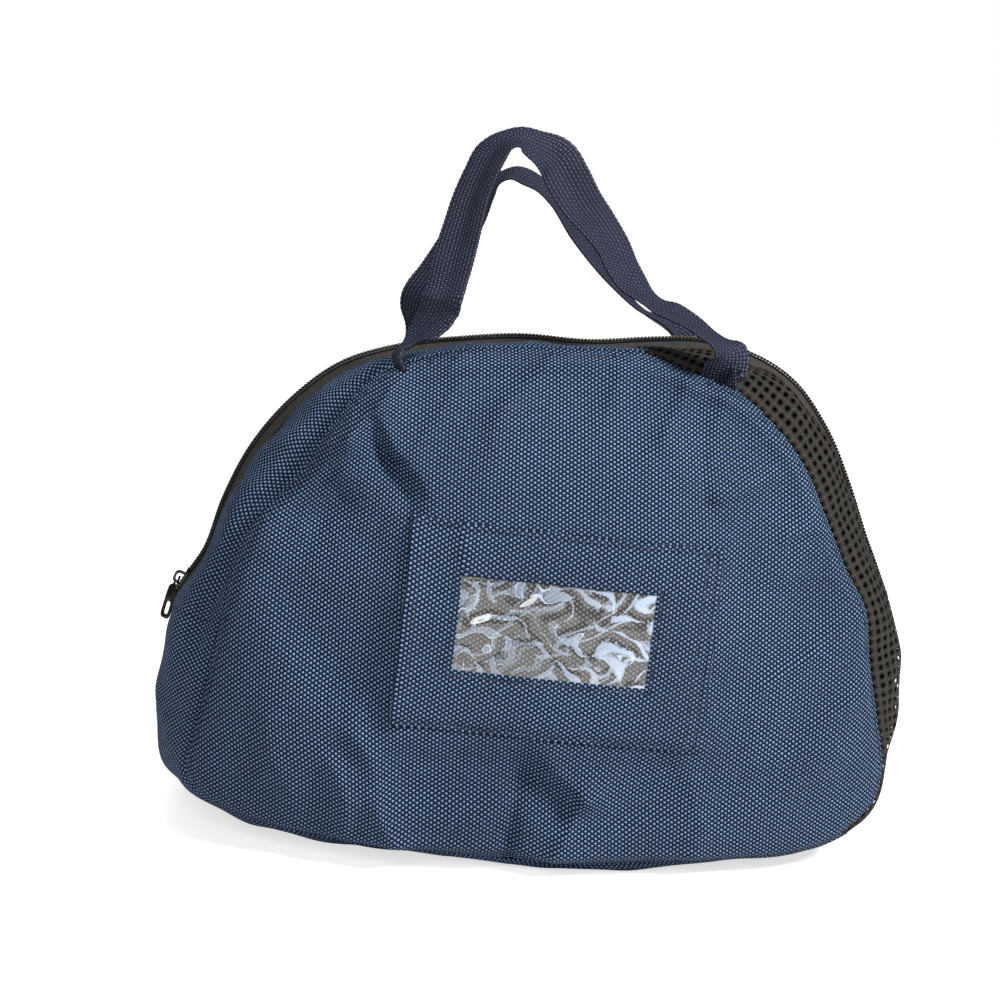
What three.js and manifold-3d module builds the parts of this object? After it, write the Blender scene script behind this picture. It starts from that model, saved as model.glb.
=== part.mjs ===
// Helmet bag: a half-round zipped bag of navy woven cloth that stands on its flat base.
// Millimetres, +Z up. X runs along the zip, the front faces -Y, the base lies on z = 0.
import * as THREE from 'three'
import Module from 'manifold-3d'
import { mergeVertices } from 'three/addons/utils/BufferGeometryUtils.js'

const wasm = await Module()
wasm.setup()

// Driving dimensions of the body
const bagWidth = 355
const bagHeight = 232
const bagDepth = 200
const clothThickness = 1.8
const meshThickness = 2.4
const seamGap = 0.45
const restGap = 0.3

// Front and back panels
const panelCentreHeight = 98
const panelRoundness = 2.4
const backTopDrop = 6
const foldHeight = 4
const foldWidth = 16

// Zip
const tapeWidth = 9.5
const coilWidth = 6
const coilThickness = 2
const tapeThickness = 1

// Handles
const strapWidth = 20
const strapThickness = 1.3
const strapCrease = 1.4
const frontHandleRise = 87
const backHandleRise = 71
const handleRootLift = 1.5
const handleRootRise = 5

// Card pocket and its window
const pocketWidth = 136
const pocketHeight = 90
const pocketTurn = -3.8
const pocketX = 1.5
const pocketZ = 109
const pocketThickness = 1.6
const pocketLift = 0.7
const pocketSlot = 1.6
const windowWidth = 84.5
const windowHeight = 41
const windowX = -2.6
const windowZ = 3
const windowThickness = 0.8

// Zip slider and pull tab
const sliderLength = 10
const sliderWidth = 8
const sliderThickness = 2.2
const bridgeLength = 6.4
const bridgeHeight = 4.4
const bridgeWall = 1.2
const bridgeWidth = 1.6
const tabLength = 21
const tabWidth = 5
const tabThickness = 1.4
const tabHole = 2.4
const pinSize = 1.1
const pinOffset = 0.8
const tabEyeLength = 6
const tabClearance = 0.3

// One row for each place round the body, from the middle of the base over the left side, the top and
// the right side. Crest is the middle line of the sides, seam the edge of the front panel. X is a share
// of bagWidth, Z of bagHeight, seamY of half of bagDepth. Turn is how sharply the side turns in to the
// seam, flat is the share of the depth that stays straight.
const outline = {
  columns: ['crestX', 'crestZ', 'seamX', 'seamZ', 'seamY', 'turn', 'flat', 'mark'],
  rows: [
    [0.014, 0.000, 0.025, 0.016, 0.90, 2.0, 0.72, 'base middle'],
    [-0.141, 0.000, -0.169, 0.032, 0.86, 2.0, 0.72, ''],
    [-0.281, 0.000, -0.295, 0.047, 0.79, 2.0, 0.68, ''],
    [-0.388, 0.000, -0.377, 0.065, 0.70, 2.0, 0.55, 'base left end'],
    [-0.450, 0.034, -0.431, 0.095, 0.63, 2.2, 0.30, ''],
    [-0.484, 0.095, -0.452, 0.138, 0.60, 2.6, 0.10, ''],
    [-0.500, 0.207, -0.443, 0.215, 0.62, 3.4, 0.00, ''],
    [-0.492, 0.336, -0.426, 0.336, 0.65, 4.5, 0.00, ''],
    [-0.468, 0.442, -0.414, 0.439, 0.66, 5.0, 0.00, 'zip left end'],
    [-0.442, 0.534, -0.400, 0.542, 0.65, 4.4, 0.00, ''],
    [-0.420, 0.637, -0.374, 0.641, 0.64, 3.2, 0.00, ''],
    [-0.388, 0.740, -0.329, 0.714, 0.60, 2.2, 0.00, ''],
    [-0.332, 0.848, -0.287, 0.818, 0.55, 1.8, 0.00, ''],
    [-0.264, 0.925, -0.236, 0.917, 0.49, 1.8, 0.00, ''],
    [-0.191, 0.961, -0.186, 0.953, 0.46, 2.0, 0.00, 'handle left root'],
    [-0.118, 0.979, -0.115, 0.981, 0.44, 2.0, 0.00, ''],
    [-0.039, 0.990, -0.023, 0.991, 0.44, 2.0, 0.00, ''],
    [0.051, 0.986, 0.056, 0.993, 0.44, 2.0, 0.00, ''],
    [0.135, 0.998, 0.104, 0.992, 0.44, 2.0, 0.00, 'mesh start'],
    [0.197, 1.000, 0.169, 0.959, 0.46, 2.0, 0.00, ''],
    [0.259, 0.979, 0.217, 0.935, 0.48, 2.0, 0.00, 'handle right root'],
    [0.318, 0.919, 0.273, 0.869, 0.52, 2.0, 0.00, ''],
    [0.366, 0.843, 0.312, 0.800, 0.56, 2.1, 0.00, ''],
    [0.408, 0.731, 0.349, 0.688, 0.60, 2.2, 0.00, ''],
    [0.439, 0.624, 0.377, 0.598, 0.62, 2.2, 0.00, ''],
    [0.470, 0.525, 0.405, 0.521, 0.65, 2.3, 0.00, ''],
    [0.494, 0.417, 0.416, 0.417, 0.66, 2.4, 0.00, 'zip right end'],
    [0.500, 0.284, 0.433, 0.301, 0.66, 2.4, 0.00, ''],
    [0.497, 0.172, 0.446, 0.207, 0.65, 2.4, 0.05, ''],
    [0.473, 0.077, 0.438, 0.133, 0.66, 2.2, 0.20, ''],
    [0.428, 0.022, 0.397, 0.069, 0.70, 2.0, 0.45, ''],
    [0.360, 0.000, 0.340, 0.039, 0.76, 2.0, 0.60, 'base right end'],
    [0.253, 0.000, 0.236, 0.027, 0.83, 2.0, 0.70, ''],
    [0.141, 0.000, 0.129, 0.020, 0.88, 2.0, 0.72, ''],
  ],
}

// Folds of the two panels: from one point to another, X as a share of bagWidth and Z of bagHeight,
// width as a share of foldWidth, height as a share of foldHeight, below zero for a valley.
const frontFolds = {
  columns: ['startX', 'startZ', 'endX', 'endZ', 'width', 'height'],
  rows: [
    [-0.227, 0.893, -0.275, 0.765, 0.5, 0.9],
    [-0.244, 0.834, -0.185, 0.724, 0.6, -0.9],
    [-0.205, 0.849, -0.150, 0.760, 0.6, 0.6],
    [-0.020, 0.960, -0.066, 0.860, 0.6, -0.8],
    [-0.080, 0.930, -0.149, 0.827, 0.8, 0.6],
    [0.140, 0.920, 0.105, 0.800, 0.7, -0.8],
    [0.182, 0.890, 0.165, 0.820, 0.8, 0.6],
    [-0.340, 0.616, -0.373, 0.495, 0.6, -0.7],
    [-0.081, 0.150, -0.071, 0.060, 0.8, 0.7],
    [0.003, 0.160, 0.006, 0.060, 0.9, -0.7],
    [0.395, 0.373, 0.340, 0.303, 0.7, -0.9],
    [0.330, 0.707, 0.325, 0.648, 0.9, -0.7],
  ],
}
const backFolds = {
  columns: ['startX', 'startZ', 'endX', 'endZ', 'width', 'height'],
  rows: [
    [0.200, 0.860, 0.240, 0.700, 0.8, -0.9],
    [0.120, 0.880, 0.090, 0.720, 0.7, 0.6],
    [-0.130, 0.900, -0.170, 0.760, 0.7, -0.9],
    [-0.060, 0.900, -0.050, 0.800, 0.9, 0.5],
    [0.340, 0.560, 0.300, 0.450, 0.7, -0.8],
    [-0.350, 0.480, -0.300, 0.360, 0.8, -0.8],
    [0.120, 0.200, 0.110, 0.080, 0.9, -0.7],
    [-0.060, 0.220, -0.050, 0.080, 0.9, 0.7],
  ],
}

// Handles from the left root to the right root: X is a share of bagWidth, Y of half of bagDepth, rise
// of the handle's own rise above bagHeight. Yaw and pitch point across the strap, in degrees.
const frontHandle = {
  columns: ['x', 'y', 'rise', 'yaw', 'pitch'],
  rows: [
    [-0.187, -0.43, -0.050, 85, 3],
    [-0.170, -0.43, 0.015, 108, -8],
    [-0.161, -0.42, 0.068, 128, -12],
    [-0.155, -0.40, 0.126, 143, -8],
    [-0.148, -0.37, 0.243, 147, 0],
    [-0.140, -0.34, 0.391, 152, -2],
    [-0.131, -0.32, 0.546, 146, -4],
    [-0.122, -0.30, 0.695, 138, 4],
    [-0.111, -0.28, 0.816, 132, 10],
    [-0.098, -0.26, 0.925, 124, 18],
    [-0.083, -0.25, 0.983, 104, 20],
    [-0.066, -0.24, 1.000, 72, 24],
    [-0.041, -0.24, 0.965, 42, 20],
    [-0.015, -0.24, 0.900, 10, 14],
    [-0.001, -0.25, 0.812, 5, 32],
    [0.017, -0.26, 0.702, 22, 32],
    [0.039, -0.28, 0.597, 34, 24],
    [0.059, -0.30, 0.492, 40, 16],
    [0.073, -0.32, 0.384, 42, 13],
    [0.089, -0.34, 0.297, 48, 11],
    [0.103, -0.36, 0.246, 62, 8],
    [0.118, -0.38, 0.206, 76, 14],
    [0.137, -0.41, 0.180, 75, 18],
    [0.157, -0.44, 0.140, 71, 14],
    [0.177, -0.48, 0.086, 63, 5],
    [0.204, -0.52, 0.005, 30, -12],
  ],
}
const backHandle = {
  columns: ['x', 'y', 'rise', 'yaw', 'pitch'],
  rows: [
    [-0.185, 0.42, 0.030, 145, -4],
    [-0.172, 0.38, 0.165, 153, 4],
    [-0.153, 0.36, 0.310, 146, 14],
    [-0.131, 0.33, 0.525, 132, 20],
    [-0.108, 0.30, 0.735, 120, 20],
    [-0.092, 0.28, 0.880, 102, 18],
    [-0.079, 0.27, 0.962, 86, 15],
    [-0.063, 0.26, 1.000, 82, 15],
    [-0.045, 0.26, 0.985, 80, 20],
    [-0.028, 0.26, 0.950, 80, 18],
    [-0.005, 0.27, 0.860, 72, 12],
    [0.032, 0.29, 0.630, 67, 13],
    [0.071, 0.31, 0.405, 65, 11],
    [0.112, 0.34, 0.205, 66, 5],
    [0.146, 0.40, 0.110, 62, -2],
    [0.172, 0.47, 0.020, 48, -6],
    [0.196, 0.52, -0.070, 22, -10],
  ],
}

// A table's rows as objects with the names of its columns.
function records(table) {
  return table.rows.map(row => Object.fromEntries(table.columns.map((name, k) => [name, row[k]])))
}

// Slopes of a smooth curve through values at knots, each the weighted slope of its two neighbours.
function hermiteSlopes(knots, values, period) {
  const count = values.length
  return values.map((value, k) => {
    const before = (k + count - 1) % count
    const after = (k + 1) % count
    const back = (knots[k] - knots[before] + period) % period
    const ahead = (knots[after] - knots[k] + period) % period
    const slopeBack = (value - values[before]) / back
    const slopeAhead = (values[after] - value) / ahead
    return (slopeBack * ahead + slopeAhead * back) / (back + ahead)
  })
}

// The loop round the body: each column of the outline as a smooth periodic function of the place t,
// 0 to 1, which is the mean length along the crest and the seam.
function makeLoop() {
  const places = records(outline).map(row => ({
    crestX: row.crestX * bagWidth,
    crestZ: row.crestZ * bagHeight,
    seamX: row.seamX * bagWidth,
    seamZ: row.seamZ * bagHeight,
    seamY: row.seamY * bagDepth / 2,
    turn: row.turn,
    flat: row.flat,
    mark: row.mark,
  }))
  const steps = places.map((place, k) => {
    const next = places[(k + 1) % places.length]
    const crest = Math.hypot(next.crestX - place.crestX, next.crestZ - place.crestZ)
    const seam = Math.hypot(next.seamX - place.seamX, next.seamZ - place.seamZ)
    return (crest + seam) / 2
  })
  const total = steps.reduce((sum, step) => sum + step, 0)
  const knots = [0]
  for (let k = 1; k < places.length; k++) knots.push(knots[k - 1] + steps[k - 1] / total)
  const names = ['crestX', 'crestZ', 'seamX', 'seamZ', 'seamY', 'turn', 'flat']
  const curves = {}
  for (const name of names) {
    const values = places.map(place => place[name])
    curves[name] = { values, slopes: hermiteSlopes(knots, values, 1) }
  }
  const marks = {}
  places.forEach((place, k) => { if (place.mark) marks[place.mark] = knots[k] })

  function at(t) {
    const u = ((t % 1) + 1) % 1
    let k = places.length - 1
    while (k > 0 && knots[k] > u) k -= 1
    const next = (k + 1) % places.length
    const span = (next === 0 ? 1 : knots[next]) - knots[k]
    const f = (u - knots[k]) / span
    const spot = {}
    for (const name of names) {
      const { values, slopes } = curves[name]
      const h0 = 2 * f ** 3 - 3 * f ** 2 + 1
      const h1 = f ** 3 - 2 * f ** 2 + f
      const h2 = 3 * f ** 2 - 2 * f ** 3
      const h3 = f ** 3 - f ** 2
      spot[name] = values[k] * h0 + slopes[k] * span * h1 + values[next] * h2 + slopes[next] * span * h3
    }
    spot.crestZ = Math.max(0, spot.crestZ)
    return spot
  }
  return { at, marks }
}
const loop = makeLoop()

// Seam of the front panel (side -1) or the back panel (side 1). The back one lies a little lower on top.
function seamPoint(t, side) {
  const spot = loop.at(t)
  const drop = side > 0 ? backTopDrop * (spot.seamZ / bagHeight) ** 3 : 0
  return new THREE.Vector3(spot.seamX, side * spot.seamY, spot.seamZ - drop)
}

// Sides, top and base: from the crest at y = 0 the surface turns in towards the seam,
// point = crest + (seam - crest) * s^turn, with s the share of the depth past the flat part.
function sidePoint(t, across) {
  const spot = loop.at(t)
  const seam = seamPoint(t, across < 0 ? -1 : 1)
  const depth = Math.abs(across)
  const s = Math.max(0, (depth - spot.flat) / (1 - spot.flat)) ** spot.turn
  return new THREE.Vector3(
    spot.crestX + (seam.x - spot.crestX) * s,
    across * spot.seamY,
    spot.crestZ + (seam.z - spot.crestZ) * s,
  )
}

// Height of all folds of a panel at a point: each is a round ridge or valley along its own line.
const foldRows = { '-1': records(frontFolds), '1': records(backFolds) }
function foldsAt(x, z, side) {
  let height = 0
  for (const fold of foldRows[side]) {
    const ax = fold.startX * bagWidth
    const az = fold.startZ * bagHeight
    const dx = fold.endX * bagWidth - ax
    const dz = fold.endZ * bagHeight - az
    const along = THREE.MathUtils.clamp(((x - ax) * dx + (z - az) * dz) / (dx * dx + dz * dz), 0, 1)
    const away = Math.hypot(x - ax - dx * along, z - az - dz * along)
    const width = fold.width * foldWidth
    height += fold.height * foldHeight * Math.exp(-((away / width) ** 2))
  }
  return height
}

// Front or back panel: rays from its middle to its seam. The bulge is y = seamY + (half depth - seamY)
// * (1 - r^roundness), and the folds fade out at the seam.
function panelPoint(t, r, side) {
  const seam = seamPoint(t, side)
  const x = seam.x * r
  const z = panelCentreHeight + (seam.z - panelCentreHeight) * r
  const seamY = Math.abs(seam.y)
  const bulge = seamY + (bagDepth / 2 - seamY) * (1 - r ** panelRoundness)
  const fade = 1 - r ** 12
  return new THREE.Vector3(x, side * (bulge + foldsAt(x, z, side) * fade), z)
}

// The same panel looked up by x and z instead of ray and radius, from a fine list of its seam points.
function makePanelLookup(side) {
  const rays = []
  for (let k = 0; k < 720; k++) {
    const seam = seamPoint(k / 720, side)
    rays.push({
      angle: Math.atan2(seam.x, seam.z - panelCentreHeight),
      reach: Math.hypot(seam.x, seam.z - panelCentreHeight),
      depth: Math.abs(seam.y),
    })
  }
  rays.sort((a, b) => a.angle - b.angle)
  return (x, z) => {
    const angle = Math.atan2(x, z - panelCentreHeight)
    let k = rays.findIndex(ray => ray.angle > angle)
    if (k < 0) k = 0
    const after = rays[k]
    const before = rays[(k + rays.length - 1) % rays.length]
    const turn = (value) => (value + 4 * Math.PI) % (2 * Math.PI)
    const f = turn(angle - before.angle) / turn(after.angle - before.angle)
    const reach = before.reach + (after.reach - before.reach) * f
    const seamY = before.depth + (after.depth - before.depth) * f
    const r = Math.hypot(x, z - panelCentreHeight) / reach
    const bulge = seamY + (bagDepth / 2 - seamY) * (1 - r ** panelRoundness)
    return new THREE.Vector3(x, side * (bulge + foldsAt(x, z, side) * (1 - r ** 12)), z)
  }
}

// Unit normal of a surface at (u, v), pointing out of the bag.
function normalOf(surface, u, v, step = 1e-3) {
  const du = surface(u + step, v).sub(surface(u - step, v))
  const dv = surface(u, v + step).sub(surface(u, v - step))
  return du.cross(dv).normalize()
}
const sideNormal = (t, across) => {
  const normal = normalOf(sidePoint, t, THREE.MathUtils.clamp(across, -0.998, 0.998))
  const spot = loop.at(t)
  const outward = new THREE.Vector3(spot.crestX, 0, spot.crestZ - panelCentreHeight)
  return normal.dot(outward) < 0 ? normal.negate() : normal
}
const panelNormal = (t, r, side) => {
  const normal = normalOf((u, v) => panelPoint(u, v, side), t, Math.min(Math.max(r, 0.01), 0.998))
  return normal.y * side < 0 ? normal.negate() : normal
}

// Where two cloths meet at a seam, both are cut along the plane between their normals.
function seamDirection(t, side) {
  const a = sideNormal(t, side * 0.998)
  const b = panelNormal(t, 0.998, side)
  return a.clone().add(b).divideScalar(1 + a.dot(b))
}

// A closed geometry from vertex places and triangles.
function solid(points, triangles) {
  const geometry = new THREE.BufferGeometry()
  geometry.setAttribute('position', new THREE.Float32BufferAttribute(points.flatMap(p => [p.x, p.y, p.z]), 3))
  geometry.setIndex(triangles)
  geometry.computeVertexNormals()
  return geometry
}

// A sheet of cloth: an outer grid of points and an inner grid, joined round every free edge.
// Cells that keep() refuses are left open, as for a window.
function sheetSolid(outer, inner, keep = () => true) {
  const rows = outer.length
  const cols = outer[0].length
  const points = []
  const ids = [outer, inner].map(grid => grid.map(line => line.map(p => points.push(p) - 1)))
  const triangles = []
  const edges = new Map()
  const addEdge = (a, b) => {
    if (edges.has(`${b},${a}`)) edges.delete(`${b},${a}`)
    else edges.set(`${a},${b}`, [a, b])
  }
  const twin = new Map()
  for (let i = 0; i < rows; i++) {
    for (let j = 0; j < cols; j++) twin.set(ids[0][i][j], ids[1][i][j])
  }
  for (let i = 0; i < rows - 1; i++) {
    for (let j = 0; j < cols - 1; j++) {
      if (!keep(i, j)) continue
      const loopIds = [ids[0][i][j], ids[0][i + 1][j], ids[0][i + 1][j + 1], ids[0][i][j + 1]]
      const [a, b, c, d] = loopIds
      triangles.push(a, b, c, a, c, d)
      triangles.push(twin.get(a), twin.get(c), twin.get(b), twin.get(a), twin.get(d), twin.get(c))
      loopIds.forEach((id, k) => addEdge(id, loopIds[(k + 1) % 4]))
    }
  }
  for (const [a, b] of edges.values()) {
    triangles.push(b, a, twin.get(a), b, twin.get(a), twin.get(b))
  }
  return facingOut(cleaned(solid(points, triangles)))
}

// Unused points dropped, shared points merged.
function cleaned(geometry) {
  geometry.deleteAttribute('normal')
  if (geometry.getAttribute('uv')) geometry.deleteAttribute('uv')
  return mergeVertices(geometry.getIndex() ? geometry.toNonIndexed() : geometry, 1e-5)
}

// Turns a closed geometry so that its volume is positive.
function facingOut(geometry) {
  const p = geometry.getAttribute('position')
  const index = geometry.getIndex().array
  const a = new THREE.Vector3()
  const b = new THREE.Vector3()
  const c = new THREE.Vector3()
  let volume = 0
  for (let k = 0; k < index.length; k += 3) {
    a.fromBufferAttribute(p, index[k])
    b.fromBufferAttribute(p, index[k + 1])
    c.fromBufferAttribute(p, index[k + 2])
    volume += a.dot(b.cross(c))
  }
  if (volume < 0) {
    for (let k = 0; k < index.length; k += 3) {
      const swap = index[k + 1]
      index[k + 1] = index[k + 2]
      index[k + 2] = swap
    }
  }
  return geometry
}

const steps = (a, b, count) => Array.from({ length: count + 1 }, (_, k) => a + (b - a) * k / count)

// Stretches of the loop between its seams, each with its number of facets. The panels take the same
// stations, so both cloths of a seam have the same facets.
const { marks } = loop
const stretches = {
  base: { from: marks['base right end'] - 1, to: marks['base left end'], along: 12 },
  leftEnd: { from: marks['base left end'], to: marks['zip left end'], along: 8 },
  sideCloth: { from: marks['zip left end'], to: marks['mesh start'], along: 22 },
  sideMesh: { from: marks['mesh start'], to: marks['zip right end'], along: 16 },
  meshEnd: { from: marks['zip right end'], to: marks['base right end'], along: 9 },
  zip: { from: marks['zip left end'], to: marks['zip right end'], along: 38 },
}
const ringPlaces = ['base', 'leftEnd', 'sideCloth', 'sideMesh', 'meshEnd'].flatMap(name => {
  const { from, to, along } = stretches[name]
  return steps(from, to, along).slice(0, along)
})

// A piece of the side: places t0 to t1 round the body, across c0 to c1 of the depth. The edges keep
// half of seamGap from their neighbours, and an edge on a seam is cut along the seam's own plane.
function sidePatch({ stretch, fromY, toY, wide, thickness, lift = 0 }) {
  const { from, to, along } = stretches[stretch]
  const length = (t) => sidePoint(t + 5e-4, 0).distanceTo(sidePoint(t - 5e-4, 0)) / 1e-3
  const t0 = from + seamGap / 2 / length(from)
  const t1 = to - seamGap / 2 / length(to)
  const outer = []
  const inner = []
  for (const t of steps(t0, t1, along)) {
    const depth = loop.at(t).seamY
    const edges = [fromY, toY].map((edge, k) => {
      const y = edge === 'seam front' ? -depth : edge === 'seam back' ? depth : edge
      return (y + (k === 0 ? 1 : -1) * seamGap / 2) / depth
    })
    const outerLine = []
    const innerLine = []
    steps(edges[0], edges[1], wide).forEach((across, j) => {
      const point = sidePoint(t, across)
      const onFront = j === 0 && fromY === 'seam front'
      const onBack = j === wide && toY === 'seam back'
      const inward = onFront ? seamDirection(t, -1) : onBack ? seamDirection(t, 1) : sideNormal(t, across)
      outerLine.push(point.clone().addScaledVector(inward, lift))
      innerLine.push(point.clone().addScaledVector(inward, lift - thickness))
    })
    outer.push(outerLine)
    inner.push(innerLine)
  }
  return sheetSolid(outer, inner)
}

// Front or back panel as rings round its middle, closed by a fan.
function panelSolid(side, rings) {
  const around = ringPlaces.length
  const points = []
  const triangles = []
  const shares = steps(0, 1, rings).slice(1).map(share => share ** 0.85)
  const layers = [0, -clothThickness].map(offset => {
    const centre = panelPoint(0, 1e-6, side)
    const centreId = points.push(centre.add(new THREE.Vector3(0, side * offset, 0))) - 1
    const ringIds = shares.map((share, ring) => ringPlaces.map(t => {
      const seam = seamPoint(t, side)
      const reach = Math.hypot(seam.x, seam.z - panelCentreHeight)
      const last = ring === rings - 1
      const r = last ? 1 - seamGap / 2 / reach : share
      const inward = last ? seamDirection(t, side) : panelNormal(t, r, side)
      return points.push(panelPoint(t, r, side).addScaledVector(inward, offset)) - 1
    }))
    return { centreId, ringIds }
  })
  layers.forEach(({ centreId, ringIds }, layer) => {
    const face = (a, b, c) => (layer === 0 ? triangles.push(a, b, c) : triangles.push(a, c, b))
    for (let k = 0; k < around; k++) {
      const next = (k + 1) % around
      face(centreId, ringIds[0][k], ringIds[0][next])
      for (let ring = 0; ring < rings - 1; ring++) {
        face(ringIds[ring][k], ringIds[ring + 1][k], ringIds[ring + 1][next])
        face(ringIds[ring][k], ringIds[ring + 1][next], ringIds[ring][next])
      }
    }
  })
  const [outerRing, innerRing] = layers.map(layer => layer.ringIds[rings - 1])
  for (let k = 0; k < around; k++) {
    const next = (k + 1) % around
    triangles.push(outerRing[k], innerRing[k], innerRing[next])
    triangles.push(outerRing[k], innerRing[next], outerRing[next])
  }
  return facingOut(cleaned(solid(points, triangles)))
}

// Card pocket: a cloth on the front panel with a window cut out, a little open at its left edge.
const lookupFront = makePanelLookup(-1)
function pocketPoint(u, v, lift) {
  const turn = THREE.MathUtils.degToRad(pocketTurn)
  const x = pocketX + u * Math.cos(turn) - v * Math.sin(turn)
  const z = pocketZ + u * Math.sin(turn) + v * Math.cos(turn)
  const point = lookupFront(x, z)
  const sx = lookupFront(x + 0.5, z).sub(lookupFront(x - 0.5, z))
  const sz = lookupFront(x, z + 0.5).sub(lookupFront(x, z - 0.5))
  const normal = sx.cross(sz).normalize()
  if (normal.y > 0) normal.negate()
  const open = pocketSlot * Math.exp(-(((u + pocketWidth / 2) / (pocketWidth * 0.06)) ** 2))
  return point.addScaledVector(normal, lift + open)
}
function pocketSheet(us, vs, low, thickness, keep) {
  const grid = (lift) => us.map(u => vs.map(v => pocketPoint(u, v, lift)))
  return sheetSolid(grid(low + thickness), grid(low), keep)
}
function frontPocket() {
  const left = windowX - windowWidth / 2
  const right = windowX + windowWidth / 2
  const low = windowZ - windowHeight / 2
  const high = windowZ + windowHeight / 2
  const us = [
    ...steps(-pocketWidth / 2, left, 3),
    ...steps(left, right, 6).slice(1),
    ...steps(right, pocketWidth / 2, 2).slice(1),
  ]
  const vs = [
    ...steps(-pocketHeight / 2, low, 2),
    ...steps(low, high, 4).slice(1),
    ...steps(high, pocketHeight / 2, 2).slice(1),
  ]
  const inWindow = (i, j) => i >= 3 && i < 9 && j >= 2 && j < 6
  return pocketSheet(us, vs, pocketLift, pocketThickness, (i, j) => !inWindow(i, j))
}
function pocketWindow() {
  const us = steps(windowX - windowWidth / 2 + restGap, windowX + windowWidth / 2 - restGap, 6)
  const vs = steps(windowZ - windowHeight / 2 + restGap, windowZ + windowHeight / 2 - restGap, 4)
  return pocketSheet(us, vs, pocketLift, windowThickness)
}

// Strap as a ribbon through its stations. Its cross-section has a shallow crease along the middle.
function strapSolid(table, side, rise) {
  const rows = records(table)
  const across = (yaw, pitch) => {
    const a = THREE.MathUtils.degToRad(yaw)
    const b = THREE.MathUtils.degToRad(pitch)
    return new THREE.Vector3(Math.cos(b) * Math.cos(a), Math.cos(b) * Math.sin(a), Math.sin(b))
  }
  const root = (mark, out) => {
    const t = loop.marks[mark]
    const tangent = seamPoint(t + 0.01, side).sub(seamPoint(t - 0.01, side)).normalize()
    const lift = seamDirection(t, side).setLength(out)
    return { centre: seamPoint(t, side).add(lift), width: tangent }
  }
  const stations = [
    root('handle left root', handleRootLift),
    root('handle left root', handleRootRise),
    ...rows.map(row => ({
      centre: new THREE.Vector3(row.x * bagWidth, row.y * bagDepth / 2, bagHeight + row.rise * rise),
      width: across(row.yaw, row.pitch),
    })),
    root('handle right root', handleRootRise),
    root('handle right root', handleRootLift),
  ]
  const centres = new THREE.CatmullRomCurve3(stations.map(s => s.centre), false, 'centripetal')
  const widths = new THREE.CatmullRomCurve3(stations.map(s => s.width), false, 'centripetal')
  const cuts = (stations.length - 1) * 2
  const outer = []
  const inner = []
  for (let k = 0; k <= cuts; k++) {
    const u = k / cuts
    const centre = centres.getPoint(u)
    const forward = centres.getPoint(Math.min(1, u + 0.004)).sub(centres.getPoint(Math.max(0, u - 0.004)))
    forward.normalize()
    const width = widths.getPoint(u)
    width.addScaledVector(forward, -width.dot(forward)).normalize()
    const normal = width.clone().cross(forward).normalize()
    const line = (offset) => [-1, 0, 1].map(w => {
      const crease = w === 0 ? strapCrease * Math.sin(Math.PI * u) ** 0.5 : 0
      return centre.clone()
        .addScaledVector(width, w * strapWidth / 2)
        .addScaledVector(normal, offset + crease)
    })
    outer.push(line(strapThickness / 2))
    inner.push(line(-strapThickness / 2))
  }
  return sheetSolid(outer, inner)
}

// Booleans on closed geometries.
function toManifold(geometry) {
  const merged = cleaned(geometry.clone())
  return new wasm.Manifold(new wasm.Mesh({
    numProp: 3,
    vertProperties: merged.getAttribute('position').array,
    triVerts: new Uint32Array(merged.getIndex().array),
  }))
}
function fromManifold(body) {
  const mesh = body.getMesh()
  const geometry = new THREE.BufferGeometry()
  geometry.setAttribute('position', new THREE.Float32BufferAttribute(mesh.vertProperties, 3))
  geometry.setIndex([...mesh.triVerts])
  return geometry
}
function roundedRect(width, height, radius) {
  const shape = new THREE.Shape()
  const w = width / 2
  const h = height / 2
  const r = Math.min(radius, w, h)
  shape.moveTo(-w + r, -h)
  shape.lineTo(w - r, -h)
  shape.absarc(w - r, -h + r, r, -Math.PI / 2, 0)
  shape.lineTo(w, h - r)
  shape.absarc(w - r, h - r, r, 0, Math.PI / 2)
  shape.lineTo(-w + r, h)
  shape.absarc(-w + r, h - r, r, Math.PI / 2, Math.PI)
  shape.lineTo(-w, -h + r)
  shape.absarc(-w + r, -h + r, r, Math.PI, Math.PI * 1.5)
  return shape
}
function plate(shape, depth) {
  const geometry = new THREE.ExtrudeGeometry(shape, { depth, bevelEnabled: false, curveSegments: 5 })
  return geometry.translate(0, 0, -depth / 2)
}

// Slider in its own frame: +X down the zip, +Y across, +Z out of the bag, z = 0 on its underside.
// The bridge is an arch along the zip, and the pull tab's pin lies under it.
function sliderSolid() {
  const body = plate(roundedRect(sliderLength, sliderWidth, 2.4), sliderThickness)
  body.translate(0, 0, sliderThickness / 2)
  const arch = roundedRect(bridgeLength, bridgeHeight * 2, 2.2)
  const opening = roundedRect(bridgeLength - 2 * bridgeWall, (bridgeHeight - bridgeWall) * 2, 1.4)
  const bridge = toManifold(plate(arch, bridgeWidth)).subtract(toManifold(plate(opening, bridgeWidth + 2)))
  const upright = fromManifold(bridge)
  upright.rotateX(Math.PI / 2)
  upright.translate(pinOffset, 0, sliderThickness)
  const half = new THREE.BoxGeometry(sliderLength * 2, sliderWidth * 2, bridgeHeight * 4)
  half.translate(0, 0, sliderThickness / 2 + bridgeHeight * 2)
  const top = toManifold(upright).intersect(toManifold(half))
  return fromManifold(toManifold(body).add(top))
}

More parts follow.
